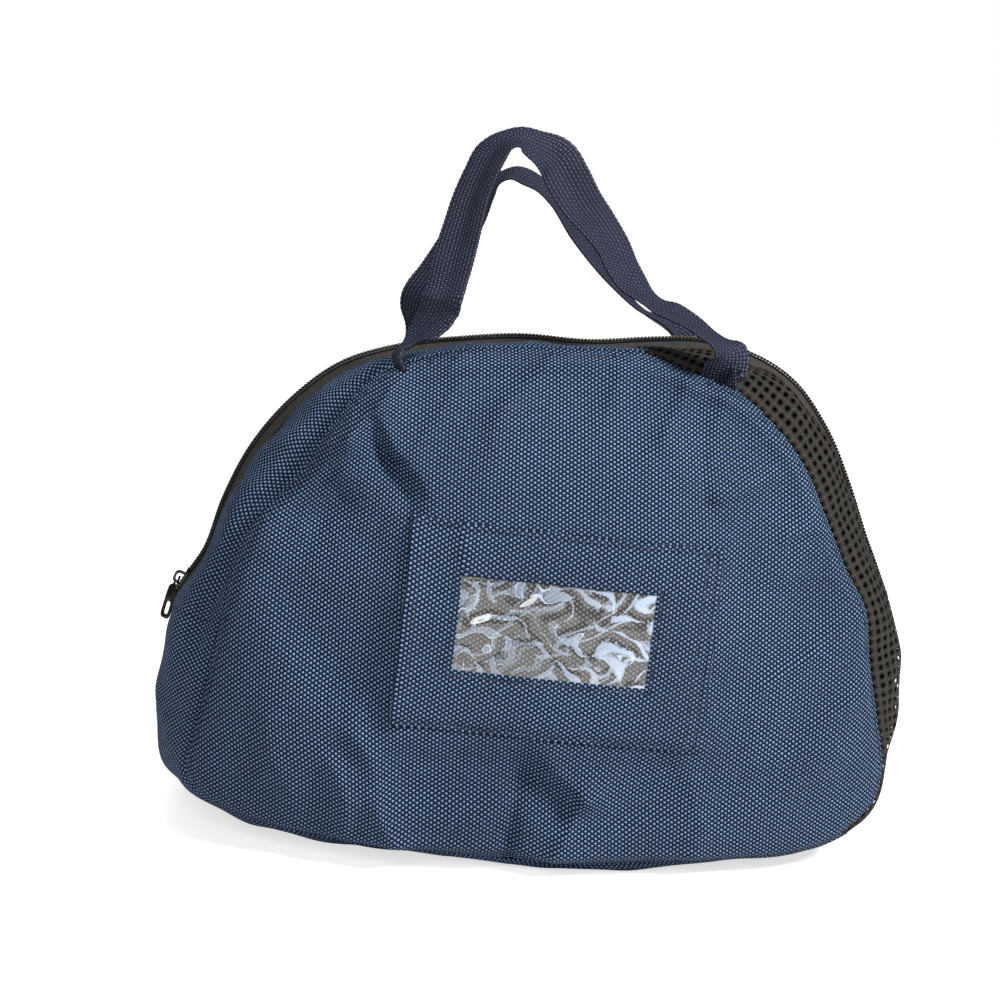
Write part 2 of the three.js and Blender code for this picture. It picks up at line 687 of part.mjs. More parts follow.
// Pull tab in its own frame: its pin lies on the y axis, the tab hangs towards +X.
function tabSolid() {
  const total = tabLength + pinSize / 2
  const outline2d = roundedRect(total, tabWidth, tabWidth * 0.45)
  const blade = plate(outline2d, tabThickness)
  blade.translate(total / 2 - pinSize / 2, 0, 0)
  const eyeWidth = bridgeWidth + 2 * restGap + 0.4
  const eye = new THREE.BoxGeometry(tabEyeLength - pinSize, eyeWidth, tabThickness * 3)
  eye.translate(pinSize / 2 + (tabEyeLength - pinSize) / 2, 0, 0)
  const hole = plate(roundedRect(tabHole * 2, tabHole, tabHole / 2), tabThickness * 3)
  hole.translate(tabLength - tabHole * 2.2, 0, 0)
  return fromManifold(toManifold(blade).subtract(toManifold(eye)).subtract(toManifold(hole)))
}

// Slider's frame on the crest, just above the left end of the zip.
function sliderFrame() {
  const end = loop.marks['zip left end']
  const perTurn = sidePoint(end + 5e-4, 0).distanceTo(sidePoint(end - 5e-4, 0)) / 1e-3
  const t = end + (sliderLength / 2 + seamGap) / perTurn
  const down = sidePoint(t - 2e-3, 0).sub(sidePoint(t + 2e-3, 0)).normalize()
  const across = new THREE.Vector3(0, 1, 0)
  const out = down.clone().cross(across).normalize()
  if (out.x > 0) {
    out.negate()
    across.negate()
  }
  const origin = sidePoint(t, 0).addScaledVector(out, coilThickness / 2 + restGap)
  return new THREE.Matrix4().makeBasis(down, across, out).setPosition(origin)
}

// Materials: navy cloth in two shades of light, black mesh, tape, webbing, lacquered metal, clear film.
const materials = {
  cloth: new THREE.MeshStandardMaterial({ name: 'cloth', color: 0x26384f, roughness: 0.85, metalness: 0 }),
  airMesh: new THREE.MeshStandardMaterial({ name: 'air mesh', color: 0x1d1b19, roughness: 0.9, metalness: 0 }),
  tape: new THREE.MeshStandardMaterial({ name: 'tape', color: 0x2b2724, roughness: 0.9, metalness: 0 }),
  coil: new THREE.MeshStandardMaterial({ name: 'coil', color: 0x17171a, roughness: 0.45, metalness: 0 }),
  webbing: new THREE.MeshStandardMaterial({ name: 'webbing', color: 0x20223c, roughness: 0.7, metalness: 0 }),
  metal: new THREE.MeshStandardMaterial({ name: 'metal', color: 0x0c0c0d, roughness: 0.35, metalness: 0.8 }),
  film: new THREE.MeshStandardMaterial({ name: 'film', color: 0x9aa4b4, roughness: 0.15, metalness: 0 }),
}

const group = new THREE.Group()
function add(name, geometry, material) {
  const mesh = new THREE.Mesh(geometry, materials[material])
  mesh.name = name
  group.add(mesh)
  return mesh
}

const tapeEdge = coilWidth / 2 + tapeWidth

add('front_panel', panelSolid(-1, 11), 'cloth')
add('back_panel', panelSolid(1, 8), 'cloth')
const wholeDepth = { fromY: 'seam front', toY: 'seam back', wide: 10 }
add('base_panel', sidePatch({ stretch: 'base', ...wholeDepth, thickness: clothThickness }), 'cloth')
add('left_end', sidePatch({ stretch: 'leftEnd', ...wholeDepth, thickness: clothThickness }), 'cloth')
add('mesh_end', sidePatch({ stretch: 'meshEnd', ...wholeDepth, thickness: meshThickness }), 'airMesh')
const halves = {
  front: { cloth: ['seam front', -tapeEdge], tape: [-tapeEdge, -coilWidth / 2] },
  back: { cloth: [tapeEdge, 'seam back'], tape: [coilWidth / 2, tapeEdge] },
}
for (const [name, half] of Object.entries(halves)) {
  const [fromY, toY] = half.cloth
  const strip = { fromY, toY, wide: 4 }
  add(`side_cloth_${name}`, sidePatch({ stretch: 'sideCloth', ...strip, thickness: clothThickness }), 'cloth')
  add(`side_mesh_${name}`, sidePatch({ stretch: 'sideMesh', ...strip, thickness: meshThickness }), 'airMesh')
  const [tapeFrom, tapeTo] = half.tape
  const tape = { stretch: 'zip', fromY: tapeFrom, toY: tapeTo, wide: 1, thickness: tapeThickness }
  add(`zip_tape_${name}`, sidePatch(tape), 'tape')
}
add('zip_coil', sidePatch({
  stretch: 'zip',
  fromY: -coilWidth / 2,
  toY: coilWidth / 2,
  wide: 1,
  thickness: coilThickness,
  lift: coilThickness / 2,
}), 'coil')
add('card_pocket', frontPocket(), 'cloth')
add('card_window', pocketWindow(), 'film')
add('handle_front', strapSolid(frontHandle, -1, frontHandleRise), 'webbing')
add('handle_back', strapSolid(backHandle, 1, backHandleRise), 'webbing')

const slider = add('zip_slider', sliderSolid(), 'metal')
const frame = sliderFrame()
slider.applyMatrix4(frame)

// At rest the tab lies on the lower end of the slider's body.
const pinRise = (bridgeHeight - bridgeWall) / 2
const tabDrop = pinRise - tabThickness / 2 - tabClearance
const tabSlope = Math.asin(Math.max(0, tabDrop) / (sliderLength / 2 - pinOffset))
const tab = add('pull_tab', tabSolid(), 'metal')
tab.applyMatrix4(new THREE.Matrix4().makeTranslation(pinOffset, 0, sliderThickness + pinRise)
  .multiply(new THREE.Matrix4().makeRotationY(tabSlope))
  .premultiply(frame))

export default group
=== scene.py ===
import math

import bmesh
import bpy
import numpy as np
from mathutils import Matrix, Vector


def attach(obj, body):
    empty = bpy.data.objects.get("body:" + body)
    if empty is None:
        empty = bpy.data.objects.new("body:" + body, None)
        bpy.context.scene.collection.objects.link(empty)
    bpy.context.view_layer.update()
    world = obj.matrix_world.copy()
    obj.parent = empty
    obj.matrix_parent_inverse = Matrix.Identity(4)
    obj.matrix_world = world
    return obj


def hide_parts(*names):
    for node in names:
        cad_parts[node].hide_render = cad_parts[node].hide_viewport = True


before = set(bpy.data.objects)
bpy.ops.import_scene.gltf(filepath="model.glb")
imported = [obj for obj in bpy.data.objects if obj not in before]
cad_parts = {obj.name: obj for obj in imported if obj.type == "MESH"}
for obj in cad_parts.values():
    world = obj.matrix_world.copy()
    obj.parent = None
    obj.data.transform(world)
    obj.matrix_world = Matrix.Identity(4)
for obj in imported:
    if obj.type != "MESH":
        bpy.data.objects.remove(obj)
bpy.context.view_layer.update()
print("frame loaded")

# Helmet bag, metres: X runs along the zip, the front faces -Y, the base lies on z = 0.
body = {
    "width": 0.355,
    "height": 0.232,
    "depth": 0.200,
    "centreHeight": 0.098,
    "roundness": 2.4,
    "backDrop": 0.006,
    "ridgeEnd": 0.003,
    "ridgeGain": 1.4,
    "lip": 0.0016,
    "lipAt": 0.0060,
    "lipWidth": 0.0034,
    "settledFade": 0.09,
}
bodyMiddle = np.array([0, 0, body["centreHeight"]])

# One row for each place round the body, from the middle of the base over the left side.
# Columns: crest X, crest Z, seam X, seam Z, seam Y, turn, flat, as shares of the body's sizes.
outline = {
    "columns": ("crestX", "crestZ", "seamX", "seamZ", "seamY", "turn", "flat"),
    "rows": np.array([
        (0.014, 0.000, 0.025, 0.016, 0.90, 2.0, 0.88),
        (-0.137, 0.000, -0.169, 0.032, 0.86, 2.0, 0.66),
        (-0.270, 0.006, -0.295, 0.047, 0.79, 2.0, 0.62),
        (-0.372, 0.020, -0.377, 0.065, 0.70, 2.0, 0.40),
        (-0.434, 0.050, -0.431, 0.095, 0.63, 2.2, 0.14),
        (-0.481, 0.098, -0.452, 0.138, 0.60, 2.6, 0.10),
        (-0.498, 0.209, -0.443, 0.215, 0.62, 3.4, 0.00),
        (-0.490, 0.337, -0.426, 0.336, 0.65, 4.5, 0.00),
        (-0.477, 0.442, -0.414, 0.439, 0.66, 5.0, 0.00),
        (-0.442, 0.534, -0.400, 0.542, 0.65, 4.4, 0.00),
        (-0.420, 0.637, -0.374, 0.641, 0.64, 3.2, 0.00),
        (-0.388, 0.740, -0.329, 0.714, 0.60, 2.2, 0.00),
        (-0.332, 0.848, -0.287, 0.818, 0.55, 1.8, 0.00),
        (-0.264, 0.925, -0.236, 0.917, 0.49, 1.8, 0.00),
        (-0.191, 0.961, -0.186, 0.953, 0.46, 2.0, 0.00),
        (-0.118, 0.979, -0.115, 0.981, 0.44, 2.0, 0.00),
        (-0.039, 0.990, -0.023, 0.991, 0.44, 2.0, 0.00),
        (0.051, 0.986, 0.056, 0.993, 0.44, 2.0, 0.00),
        (0.135, 0.998, 0.104, 0.992, 0.44, 2.0, 0.00),
        (0.199, 1.000, 0.169, 0.959, 0.46, 2.0, 0.00),
        (0.259, 0.979, 0.217, 0.935, 0.48, 2.0, 0.00),
        (0.322, 0.925, 0.273, 0.869, 0.52, 2.0, 0.00),
        (0.366, 0.843, 0.312, 0.800, 0.56, 2.1, 0.00),
        (0.405, 0.729, 0.349, 0.688, 0.60, 2.2, 0.00),
        (0.434, 0.622, 0.377, 0.598, 0.62, 2.2, 0.00),
        (0.463, 0.523, 0.405, 0.521, 0.65, 2.3, 0.00),
        (0.486, 0.417, 0.416, 0.417, 0.66, 2.4, 0.00),
        (0.490, 0.287, 0.433, 0.301, 0.66, 2.4, 0.00),
        (0.474, 0.185, 0.446, 0.207, 0.65, 2.4, 0.00),
        (0.457, 0.089, 0.438, 0.133, 0.66, 2.2, 0.10),
        (0.415, 0.034, 0.397, 0.069, 0.70, 2.0, 0.26),
        (0.350, 0.014, 0.340, 0.039, 0.76, 2.0, 0.40),
        (0.248, 0.008, 0.236, 0.027, 0.83, 2.0, 0.60),
        (0.141, 0.000, 0.129, 0.020, 0.88, 2.0, 0.86),
    ]),
    "places": {
        "baseLeft": 3, "zipLeft": 8, "handleLeft": 14, "meshStart": 18,
        "handleRight": 20, "zipRight": 26, "baseRight": 30,
    },
}

# Ridges from one point to another in millimetres: start X, start Z, end X, end Z, height at the start
# and at the end, width of the flank on the left or below and on the other side. Below zero is a valley.
frontRidges = np.array([
    (-77, 206, -92, 186, 7.0, 6.6, 3.6, 14),
    (-92, 186, -104, 168, 6.6, 2.4, 4.6, 15),
    (-80, 201, -74, 182, -1.4, -3.4, 6, 4),
    (-74, 182, -65, 160, -3.4, -1.2, 7, 4),
    (-102, 183, -136, 145, 3.8, 2.8, 4, 9),
    (-67, 142, -73, 66, 2.8, 3.8, 30, 46),
    (-80, 199, -59, 168, 5.0, 2.4, 4.5, 14),
    (-91, 172, -113, 150, 3.8, 2.4, 6, 8),
    (-96, 158, -118, 132, -2.2, -1.4, 9, 7),
    (-44, 214, -63, 186, 3.0, 1.6, 6, 12),
    (-3, 228, -24, 203, 4.4, 2.4, 6, 14),
    (-24, 203, -34, 178, 2.2, 1.0, 7, 13),
    (-47, 226, -57, 210, 2.8, 1.4, 5, 9),
    (26, 221, 14, 200, 2.6, 1.2, 6, 12),
    (58, 216, 43, 193, 4.6, 2.6, 6, 13),
    (43, 193, 27, 172, 2.6, 1.2, 6, 13),
    (72, 214, 62, 194, 3.2, 1.6, 5, 10),
    (62, 196, 66, 170, -2.4, -1.4, 8, 8),
    (72, 173, 97, 177, 3.8, 2.6, 5, 11),
    (103, 152, 129, 160, 3.8, 2.2, 5, 10),
    (100, 138, 124, 134, 2.2, 1.4, 6, 12),
    (117, 103, 95, 91, 2.8, 1.6, 5, 9),
    (148, 85, 118, 68, 2.8, 1.6, 4, 8),
    (130, 60, 92, 52, 2.0, 1.2, 5, 12),
    (-11, 46, -14, 4, -4.2, -4.2, 9, 7),
    (2, 52, 14, 38, 3.0, 4.4, 6, 18),
    (14, 38, 6, 6, 4.4, 4.0, 6, 20),
    (-82, 60, -62, 8, 5.0, 6.0, 16, 9),
    (-94, 46, -84, 12, 3.2, 2.6, 6, 9),
    (-122, 64, -112, 22, 2.4, 2.0, 9, 14),
    (-39, 152, -40, 137, 1.9, 1.5, 5, 10),
    (62, 58, 70, 14, 2.0, 2.4, 10, 16),
])
backRidges = np.array([
    (71, 200, 85, 162, -3.0, -1.5, 8, 6),
    (43, 204, 32, 167, 2.5, 1.2, 7, 12),
    (-46, 209, -60, 176, 3.0, 1.5, 6, 13),
    (-21, 209, -18, 186, 1.8, 0.8, 8, 10),
    (121, 130, 106, 104, 2.6, 1.4, 6, 11),
    (-124, 111, -106, 84, 2.6, 1.4, 10, 6),
    (43, 46, 39, 10, -2.6, -2.4, 9, 8),
    (-21, 51, -18, 14, 2.6, 2.4, 9, 13),
    (96, 60, 104, 18, 2.4, 2.2, 10, 14),
    (-92, 55, -86, 16, 3.0, 2.6, 14, 9),
])


# Smooth curve through values at knots: each slope is the weighted mean of its two neighbours' slopes,
# and the cubic between two knots takes its value and slope from both.
def hermite(knots, values, at, period=None):
    if period:
        ahead = np.roll(knots, -1) - knots
        ahead[-1] += period
        rise = np.roll(values, -1, axis=0) - values
    else:
        ahead = np.append(np.diff(knots), knots[-1] - knots[-2])
        rise = np.vstack([np.diff(values, axis=0), values[-1:] - values[-2:-1]])
    back = np.roll(ahead, 1)
    riseBack = np.roll(rise, 1, axis=0)
    if not period:
        back[0], riseBack[0] = ahead[0], rise[0]
    slope = (riseBack / back[:, None] * ahead[:, None] + rise / ahead[:, None] * back[:, None])
    slope = slope / (back + ahead)[:, None]
    place = np.mod(at, period) if period else np.clip(at, knots[0], knots[-1])
    last = len(knots) - 1 if period else len(knots) - 2
    k = np.clip(np.searchsorted(knots, place, side="right") - 1, 0, last)
    after = (k + 1) % len(knots)
    f = ((place - knots[k]) / ahead[k])[..., None]
    span = ahead[k][..., None]
    return (values[k] * (2 * f**3 - 3 * f**2 + 1) + slope[k] * span * (f**3 - 2 * f**2 + f)
            + values[after] * (3 * f**2 - 2 * f**3) + slope[after] * span * (f**3 - f**2))


outlineScale = np.array([body["width"], body["height"], body["width"], body["height"],
                         body["depth"] / 2, 1, 1])
outlineSizes = outline["rows"] * outlineScale
legs = np.roll(outlineSizes, -1, axis=0) - outlineSizes
legLengths = (np.hypot(legs[:, 0], legs[:, 1]) + np.hypot(legs[:, 2], legs[:, 3])) / 2
outlineKnots = np.append(0, np.cumsum(legLengths)[:-1]) / legLengths.sum()
place = {name: outlineKnots[row] for name, row in outline["places"].items()}


def loopAt(t):
    spot = hermite(outlineKnots, outlineSizes, np.asarray(t, float), period=1.0)
    named = {name: spot[..., k] for k, name in enumerate(outline["columns"])}
    named["crestZ"] = np.maximum(named["crestZ"], 0)
    return named


def stack(*parts):
    return np.stack(np.broadcast_arrays(*parts), axis=-1)


# Seam of the front panel (side -1) or of the back one (side 1), a little lower at the back.
def seamPoint(t, side):
    spot = loopAt(t)
    drop = np.where(np.asarray(side) > 0, body["backDrop"] * (spot["seamZ"] / body["height"])**3, 0)
    return stack(spot["seamX"], side * spot["seamY"], spot["seamZ"] - drop)


# Sides: crest + (seam - crest) * s^turn, with s the share of the depth past the flat part.
def sidePoint(t, across):
    spot = loopAt(t)
    seam = seamPoint(t, np.sign(across))
    s = np.clip((np.abs(across) - spot["flat"]) / (1 - spot["flat"]), 0, None)**spot["turn"]
    return stack(spot["crestX"] + (seam[..., 0] - spot["crestX"]) * s, across * spot["seamY"],
                 spot["crestZ"] + (seam[..., 2] - spot["crestZ"]) * s)


ridgeForm = {
    "steepness": 1.6,
    "crest": 0.18,
    "bend": 0.0024,
    "ripple": 0.0005,
}


# Ridges: height * exp(-steepness (sqrt((distance / width)^2 + crest^2) - crest)), a rounded crest between
# straight flanks, with the height running evenly from end to end. Slow sine waves bend x and z first,
# by up to 3 mm, so that no ridge runs straight.
def ridgesAt(x, z, rows):
    bend, ripple, crest = ridgeForm["bend"], ridgeForm["ripple"], ridgeForm["crest"]
    x, z = (x + bend * np.sin(z * 110 + 2.1 * np.sin(x * 38)) + ripple * np.sin(z * 240 + x * 90),
            z + bend * np.sin(x * 92 + 1.7 * np.sin(z * 46)) + ripple * np.sin(x * 210 - z * 120))
    total = np.zeros(np.broadcast(x, z).shape)
    for startX, startZ, endX, endZ, startHeight, endHeight, lowWidth, highWidth in rows * 0.001:
        dx, dz = endX - startX, endZ - startZ
        along = np.clip(((x - startX) * dx + (z - startZ) * dz) / (dx * dx + dz * dz), 0, 1)
        awayX, awayZ = x - startX - dx * along, z - startZ - dz * along
        away = np.hypot(awayX, awayZ)
        side = 0.5 + 0.5 * (awayZ * dx - awayX * dz) / (np.hypot(dx, dz) * np.maximum(away, 1e-6))
        reach = away / (lowWidth + (highWidth - lowWidth) * side)
        height = startHeight + (endHeight - startHeight) * along
        total += height * np.exp(-ridgeForm["steepness"] * (np.sqrt(reach**2 + crest**2) - crest))
    return total


# The seam seen from the panel's middle: angle, distance, and distance from the bag's middle plane.
def makeRim(side):
    rim = seamPoint(np.linspace(0, 1, 1440, endpoint=False), side)
    rise = rim[:, 2] - body["centreHeight"]
    angle = np.arctan2(rim[:, 0], rise)
    order = np.argsort(angle)
    return angle[order], np.hypot(rim[:, 0], rise)[order], np.abs(rim[:, 1])[order]


rims = {-1: makeRim(-1), 1: makeRim(1)}
settled = {
    "across": 71,
    "up": 55,
    "spare": 0.014,
    "frames": 24,
    "most": 0.0040,
    "calming": 5,
    "underPocket": 0.25,
    "pocketMargin": 0.012,
    "fine": 4,
    "quality": 7,
    "mass": 0.15,
    "tension": 14,
    "shear": 6,
    "bending": 0.05,
    "airDamping": 2,
    "pressure": 0.4,
    "gravity": 0.4,
}
settledTables = {-1: None, 1: None}


# From a place X, Z on a disc back to the square of panelGrid, below:
# a = (sqrt(2 + X^2 - Z^2 + 2 sqrt2 X) - sqrt(2 + X^2 - Z^2 - 2 sqrt2 X)) / 2, and b with X and Z swapped.
def squareFromDisc(discX, discZ):
    def share(p, q):
        both = 2 + p * p - q * q
        return 0.5 * (np.sqrt(np.maximum(both + 2 * math.sqrt(2) * p, 0))
                      - np.sqrt(np.maximum(both - 2 * math.sqrt(2) * p, 0)))
    return share(discX, discZ), share(discZ, discX)


# Panel depth at x and z: y = seamY + (half depth - seamY) * (1 - r^roundness) plus the ridges,
# with r the share of the way from the panel's middle to its seam. Ridges end 3 mm from the seam.
# A low lip runs along the seam, and the small folds that the cloth settles into come on top.
def panelDepth(x, z, side):
    angles, reaches, depths = rims[side]
    angle = np.arctan2(x, z - body["centreHeight"])
    reach = np.interp(angle, angles, reaches, period=2 * np.pi)
    seamY = np.interp(angle, angles, depths, period=2 * np.pi)
    r = np.minimum(np.hypot(x, z - body["centreHeight"]) / reach, 1)
    bulge = seamY + (body["depth"] / 2 - seamY) * (1 - r**body["roundness"])
    fade = 1 - np.exp(-((1 - r) * reach / body["ridgeEnd"])**2)
    lip = body["lip"] * np.exp(-(((1 - r) * reach - body["lipAt"]) / body["lipWidth"])**2) * fade
    depth = bulge + lip + body["ridgeGain"] * ridgesAt(x, z, frontRidges if side < 0 else backRidges) * fade
    if settledTables[side] is not None:
        a, b = squareFromDisc(r * np.sin(angle), r * np.cos(angle))
        marks, table = settledTables[side]
        calm = np.clip((1 - r) / body["settledFade"], 0, 1)
        depth = depth + bilinear(marks[0], marks[1], table, a, b) * calm * calm * (3 - 2 * calm)
    return depth


def bilinear(xs, zs, table, x, z):
    i = np.clip((x - xs[0]) / (xs[1] - xs[0]), 0, len(xs) - 1.001)
    j = np.clip((z - zs[0]) / (zs[1] - zs[0]), 0, len(zs) - 1.001)
    i0, j0 = i.astype(int), j.astype(int)
    fi, fj = i - i0, j - j0
    return ((table[j0, i0] * (1 - fi) + table[j0, i0 + 1] * fi) * (1 - fj)
            + (table[j0 + 1, i0] * (1 - fi) + table[j0 + 1, i0 + 1] * fi) * fj)


# The four-sided faces of a grid of vertex numbers.
def quadFaces(index):
    return np.stack([index[:-1, :-1], index[1:, :-1], index[1:, 1:], index[:-1, 1:]], axis=-1).reshape(-1, 4)


def unit(v):
    return v / np.maximum(np.linalg.norm(v, axis=-1, keepdims=True), 1e-12)


# Normals of a grid of points, turned to point away from the body's middle.
def gridNormals(points):
    across = np.gradient(points, axis=1)
    along = np.gradient(points, axis=0)
    normals = unit(np.cross(across, along))
    outward = np.sum(normals * (points - bodyMiddle))
    return normals if outward > 0 else -normals


# A grid of points as a mesh with a uv in metres. Faces point away from the body's middle.
def gridMesh(name, points, uv=None, keep=None):
    rows, cols = points.shape[:2]
    index = np.arange(rows * cols).reshape(rows, cols)
    faces = np.stack([index[:-1, :-1], index[:-1, 1:], index[1:, 1:], index[1:, :-1]], axis=-1)
    facing = np.cross(points[1:, :-1] - points[:-1, :-1], points[:-1, 1:] - points[:-1, :-1])
    if np.sum(facing * (points[:-1, :-1] - bodyMiddle)) > 0:
        faces = faces[..., ::-1]
    faces = faces[keep] if keep is not None else faces.reshape(-1, 4)
    return solidMesh(name, points.reshape(-1, 3), faces, None if uv is None else uv.reshape(-1, 2))


def solidMesh(name, points, faces, uv=None, smooth=True):
    mesh = bpy.data.meshes.new(name)
    mesh.vertices.add(len(points))
    mesh.vertices.foreach_set("co", np.ascontiguousarray(points, np.float32).ravel())
    mesh.loops.add(faces.size)
    mesh.loops.foreach_set("vertex_index", np.ascontiguousarray(faces, np.int32).ravel())
    mesh.polygons.add(len(faces))
    mesh.polygons.foreach_set("loop_start", np.arange(0, faces.size, faces.shape[1], dtype=np.int32))
    mesh.update(calc_edges=True)
    if uv is not None:
        layer = mesh.uv_layers.new(name="cloth")
        layer.data.foreach_set("uv", np.ascontiguousarray(uv[faces.ravel()], np.float32).ravel())
    mesh.polygons.foreach_set("use_smooth", np.full(len(faces), smooth))
    mesh.validate()
    piece = bpy.data.objects.new(name, mesh)
    bpy.context.scene.collection.objects.link(piece)
    return piece


def finishPiece(piece, material, bodyName="bag", thickness=None, replaces=()):
    piece.data.materials.append(material)
    if thickness:
        wall = piece.modifiers.new("wall", "SOLIDIFY")
        wall.thickness = thickness
        wall.offset = -1
        wall.use_even_offset = False
    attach(piece, bodyName)
    if replaces:
        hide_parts(*replaces)
    return piece


# Copies of one small form along a line: each copy takes a place and three directions.
def repeatedMesh(name, form, formFaces, places, xs, ys, zs):
    points = (places[:, None] + form[None, :, 0:1] * xs[:, None] + form[None, :, 1:2] * ys[:, None]
              + form[None, :, 2:3] * zs[:, None])
    faces = formFaces[None] + (np.arange(len(places)) * len(form))[:, None, None]
    return solidMesh(name, points.reshape(-1, 3), faces.reshape(-1, formFaces.shape[1]))


# A capsule along x: six points on a circle of the radius sqrt(1 - s^4), carried from end to end and
# flattened in z.
def capsule(length, radius, flat=1.0, along=6):
    around = 6
    s = np.linspace(-1, 1, along)
    size = np.sqrt(np.clip(1 - s**4, 0.02, 1)) * radius
    angle = np.linspace(0, 2 * np.pi, around, endpoint=False)
    x = np.repeat(s[:, None] * length / 2, around, axis=1)
    points = np.stack([x, size[:, None] * np.cos(angle), size[:, None] * np.sin(angle) * flat], axis=-1)
    index = np.arange(along * around).reshape(along, around)
    index = np.hstack([index, index[:, :1]])
    faces = quadFaces(index)[:, ::-1]
    caps = np.array([[0, 1, 2, 3], [0, 3, 4, 5]])
    ends = (along - 1) * around + caps[:, ::-1]
    return points.reshape(-1, 3), np.vstack([faces, caps, ends])


# Even steps along a polyline, with its direction.
def resample(line, pitch):
    lengths = np.append(0, np.cumsum(np.linalg.norm(np.diff(line, axis=0), axis=1)))
    count = max(2, int(lengths[-1] / pitch))
    marks = (np.arange(count) + 0.5) * lengths[-1] / count
    points = np.stack([np.interp(marks, lengths, line[:, k]) for k in range(3)], axis=1)
    ahead = np.stack([np.interp(marks + pitch * 0.3, lengths, line[:, k]) for k in range(3)], axis=1)
    behind = np.stack([np.interp(marks - pitch * 0.3, lengths, line[:, k]) for k in range(3)], axis=1)
    return points, unit(ahead - behind)


def newGroup(name, inputs, outputs):
    tree = bpy.data.node_groups.new(name, "ShaderNodeTree")
    for label, kind, value in inputs:
        socket = tree.interface.new_socket(name=label, in_out="INPUT", socket_type=kind)
        if value is not None:
            socket.default_value = value
    for label, kind in outputs:
        tree.interface.new_socket(name=label, in_out="OUTPUT", socket_type=kind)
    return tree, tree.nodes.new("NodeGroupInput"), tree.nodes.new("NodeGroupOutput")


def addMath(tree, operation, a, b=None):
    node = tree.nodes.new("ShaderNodeMath")
    node.operation = operation
    for socket, value in zip(node.inputs, (a, b)):
        if value is None:
            continue
        if isinstance(value, (int, float)):
            socket.default_value = value
        else:
            tree.links.new(value, socket)
    return node.outputs[0]


def addMix(tree, factor, a, b):
    node = tree.nodes.new("ShaderNodeMix")
    node.data_type = "RGBA"
    for socket, value in ((node.inputs["Factor"], factor), (node.inputs[6], a), (node.inputs[7], b)):
        if isinstance(value, (int, float)):
            socket.default_value = value
        elif isinstance(value, tuple):
            socket.default_value = (*value, 1)
        else:
            tree.links.new(value, socket)
    return node.outputs[2]


def addNoise(tree, vector, scale, detail=2.0, roughness=0.5):
    node = tree.nodes.new("ShaderNodeTexNoise")
    node.inputs["Scale"].default_value = scale
    node.inputs["Detail"].default_value = detail
    node.inputs["Roughness"].default_value = roughness
    tree.links.new(vector, node.inputs["Vector"])
    return node


# Value mapped from one range to 0..1 with soft ends.
def addRange(tree, value, low, high, smooth=True):
    node = tree.nodes.new("ShaderNodeMapRange")
    node.interpolation_type = "SMOOTHSTEP" if smooth else "LINEAR"
    node.inputs["From Min"].default_value = low
    node.inputs["From Max"].default_value = high
    tree.links.new(value, node.inputs["Value"])
    return node.outputs["Result"]


# Plain weave on a uv in metres: the sign of sin(pi u / pitch) * sin(pi v / pitch) says which thread lies
# on top, and its size, to a power for each direction, is the round top of that thread's float.
def makeWeaveGroup():
    tree, source, sink = newGroup(
        "plainWeave",
        [("Vector", "NodeSocketVector", None), ("Pitch Across", "NodeSocketFloat", 0.0016),
         ("Pitch Up", "NodeSocketFloat", 0.0011), ("Wander", "NodeSocketFloat", 0.0002)],
        [("Over", "NodeSocketFloat"), ("Under", "NodeSocketFloat"), ("Height", "NodeSocketFloat")])
    wander = addNoise(tree, source.outputs["Vector"], 45, 1)
    shift = tree.nodes.new("ShaderNodeVectorMath")
    shift.operation = "SUBTRACT"
    tree.links.new(wander.outputs["Color"], shift.inputs[0])
    shift.inputs[1].default_value = (0.5, 0.5, 0.5)
    scaled = tree.nodes.new("ShaderNodeVectorMath")
    scaled.operation = "SCALE"
    tree.links.new(shift.outputs[0], scaled.inputs[0])
    tree.links.new(source.outputs["Wander"], scaled.inputs["Scale"])
    moved = tree.nodes.new("ShaderNodeVectorMath")
    moved.operation = "ADD"
    tree.links.new(source.outputs["Vector"], moved.inputs[0])
    tree.links.new(scaled.outputs[0], moved.inputs[1])
    axes = tree.nodes.new("ShaderNodeSeparateXYZ")
    tree.links.new(moved.outputs[0], axes.inputs[0])
    waves = []
    for axis, pitch in (("X", "Pitch Across"), ("Y", "Pitch Up")):
        turns = addMath(tree, "DIVIDE", axes.outputs[axis], source.outputs[pitch])
        waves.append(addMath(tree, "SINE", addMath(tree, "MULTIPLY", turns, math.pi)))
    above = addMath(tree, "GREATER_THAN", addMath(tree, "MULTIPLY", *waves), 0.0)
    sizes = [addMath(tree, "ABSOLUTE", wave) for wave in waves]
    upright, level = (addMath(tree, "MULTIPLY", addMath(tree, "POWER", sizes[0], first),
                              addMath(tree, "POWER", sizes[1], second))
                      for first, second in ((1.3, 0.6), (0.6, 1.3)))
    over = addMath(tree, "MULTIPLY", upright, above)
    under = addMath(tree, "MULTIPLY", level, addMath(tree, "SUBTRACT", 1.0, above))
    tree.links.new(over, sink.inputs["Over"])
    tree.links.new(under, sink.inputs["Under"])
    height = addMath(tree, "ADD", over, addMath(tree, "MULTIPLY", under, 0.55))
    tree.links.new(height, sink.inputs["Height"])
    return tree


weaveGroup = makeWeaveGroup()


def newMaterial(name):
    material = bpy.data.materials.new(name)
    material.use_nodes = True
    tree = material.node_tree
    shader = tree.nodes["Principled BSDF"]
    return material, tree, shader


shaderLabels = {
    "roughness": "Roughness",
    "specular": "Specular IOR Level",
    "coat": "Coat Weight",
    "coatRoughness": "Coat Roughness",
}


# The shader's own values, from those that a look names.
def setValues(shader, look):
    for key in shaderLabels.keys() & look.keys():
        shader.inputs[shaderLabels[key]].default_value = look[key]


def addUv(tree):
    node = tree.nodes.new("ShaderNodeUVMap")
    node.uv_map = "cloth"
    return node.outputs["UV"]


def addObjectCoords(tree):
    return tree.nodes.new("ShaderNodeTexCoord").outputs["Object"]


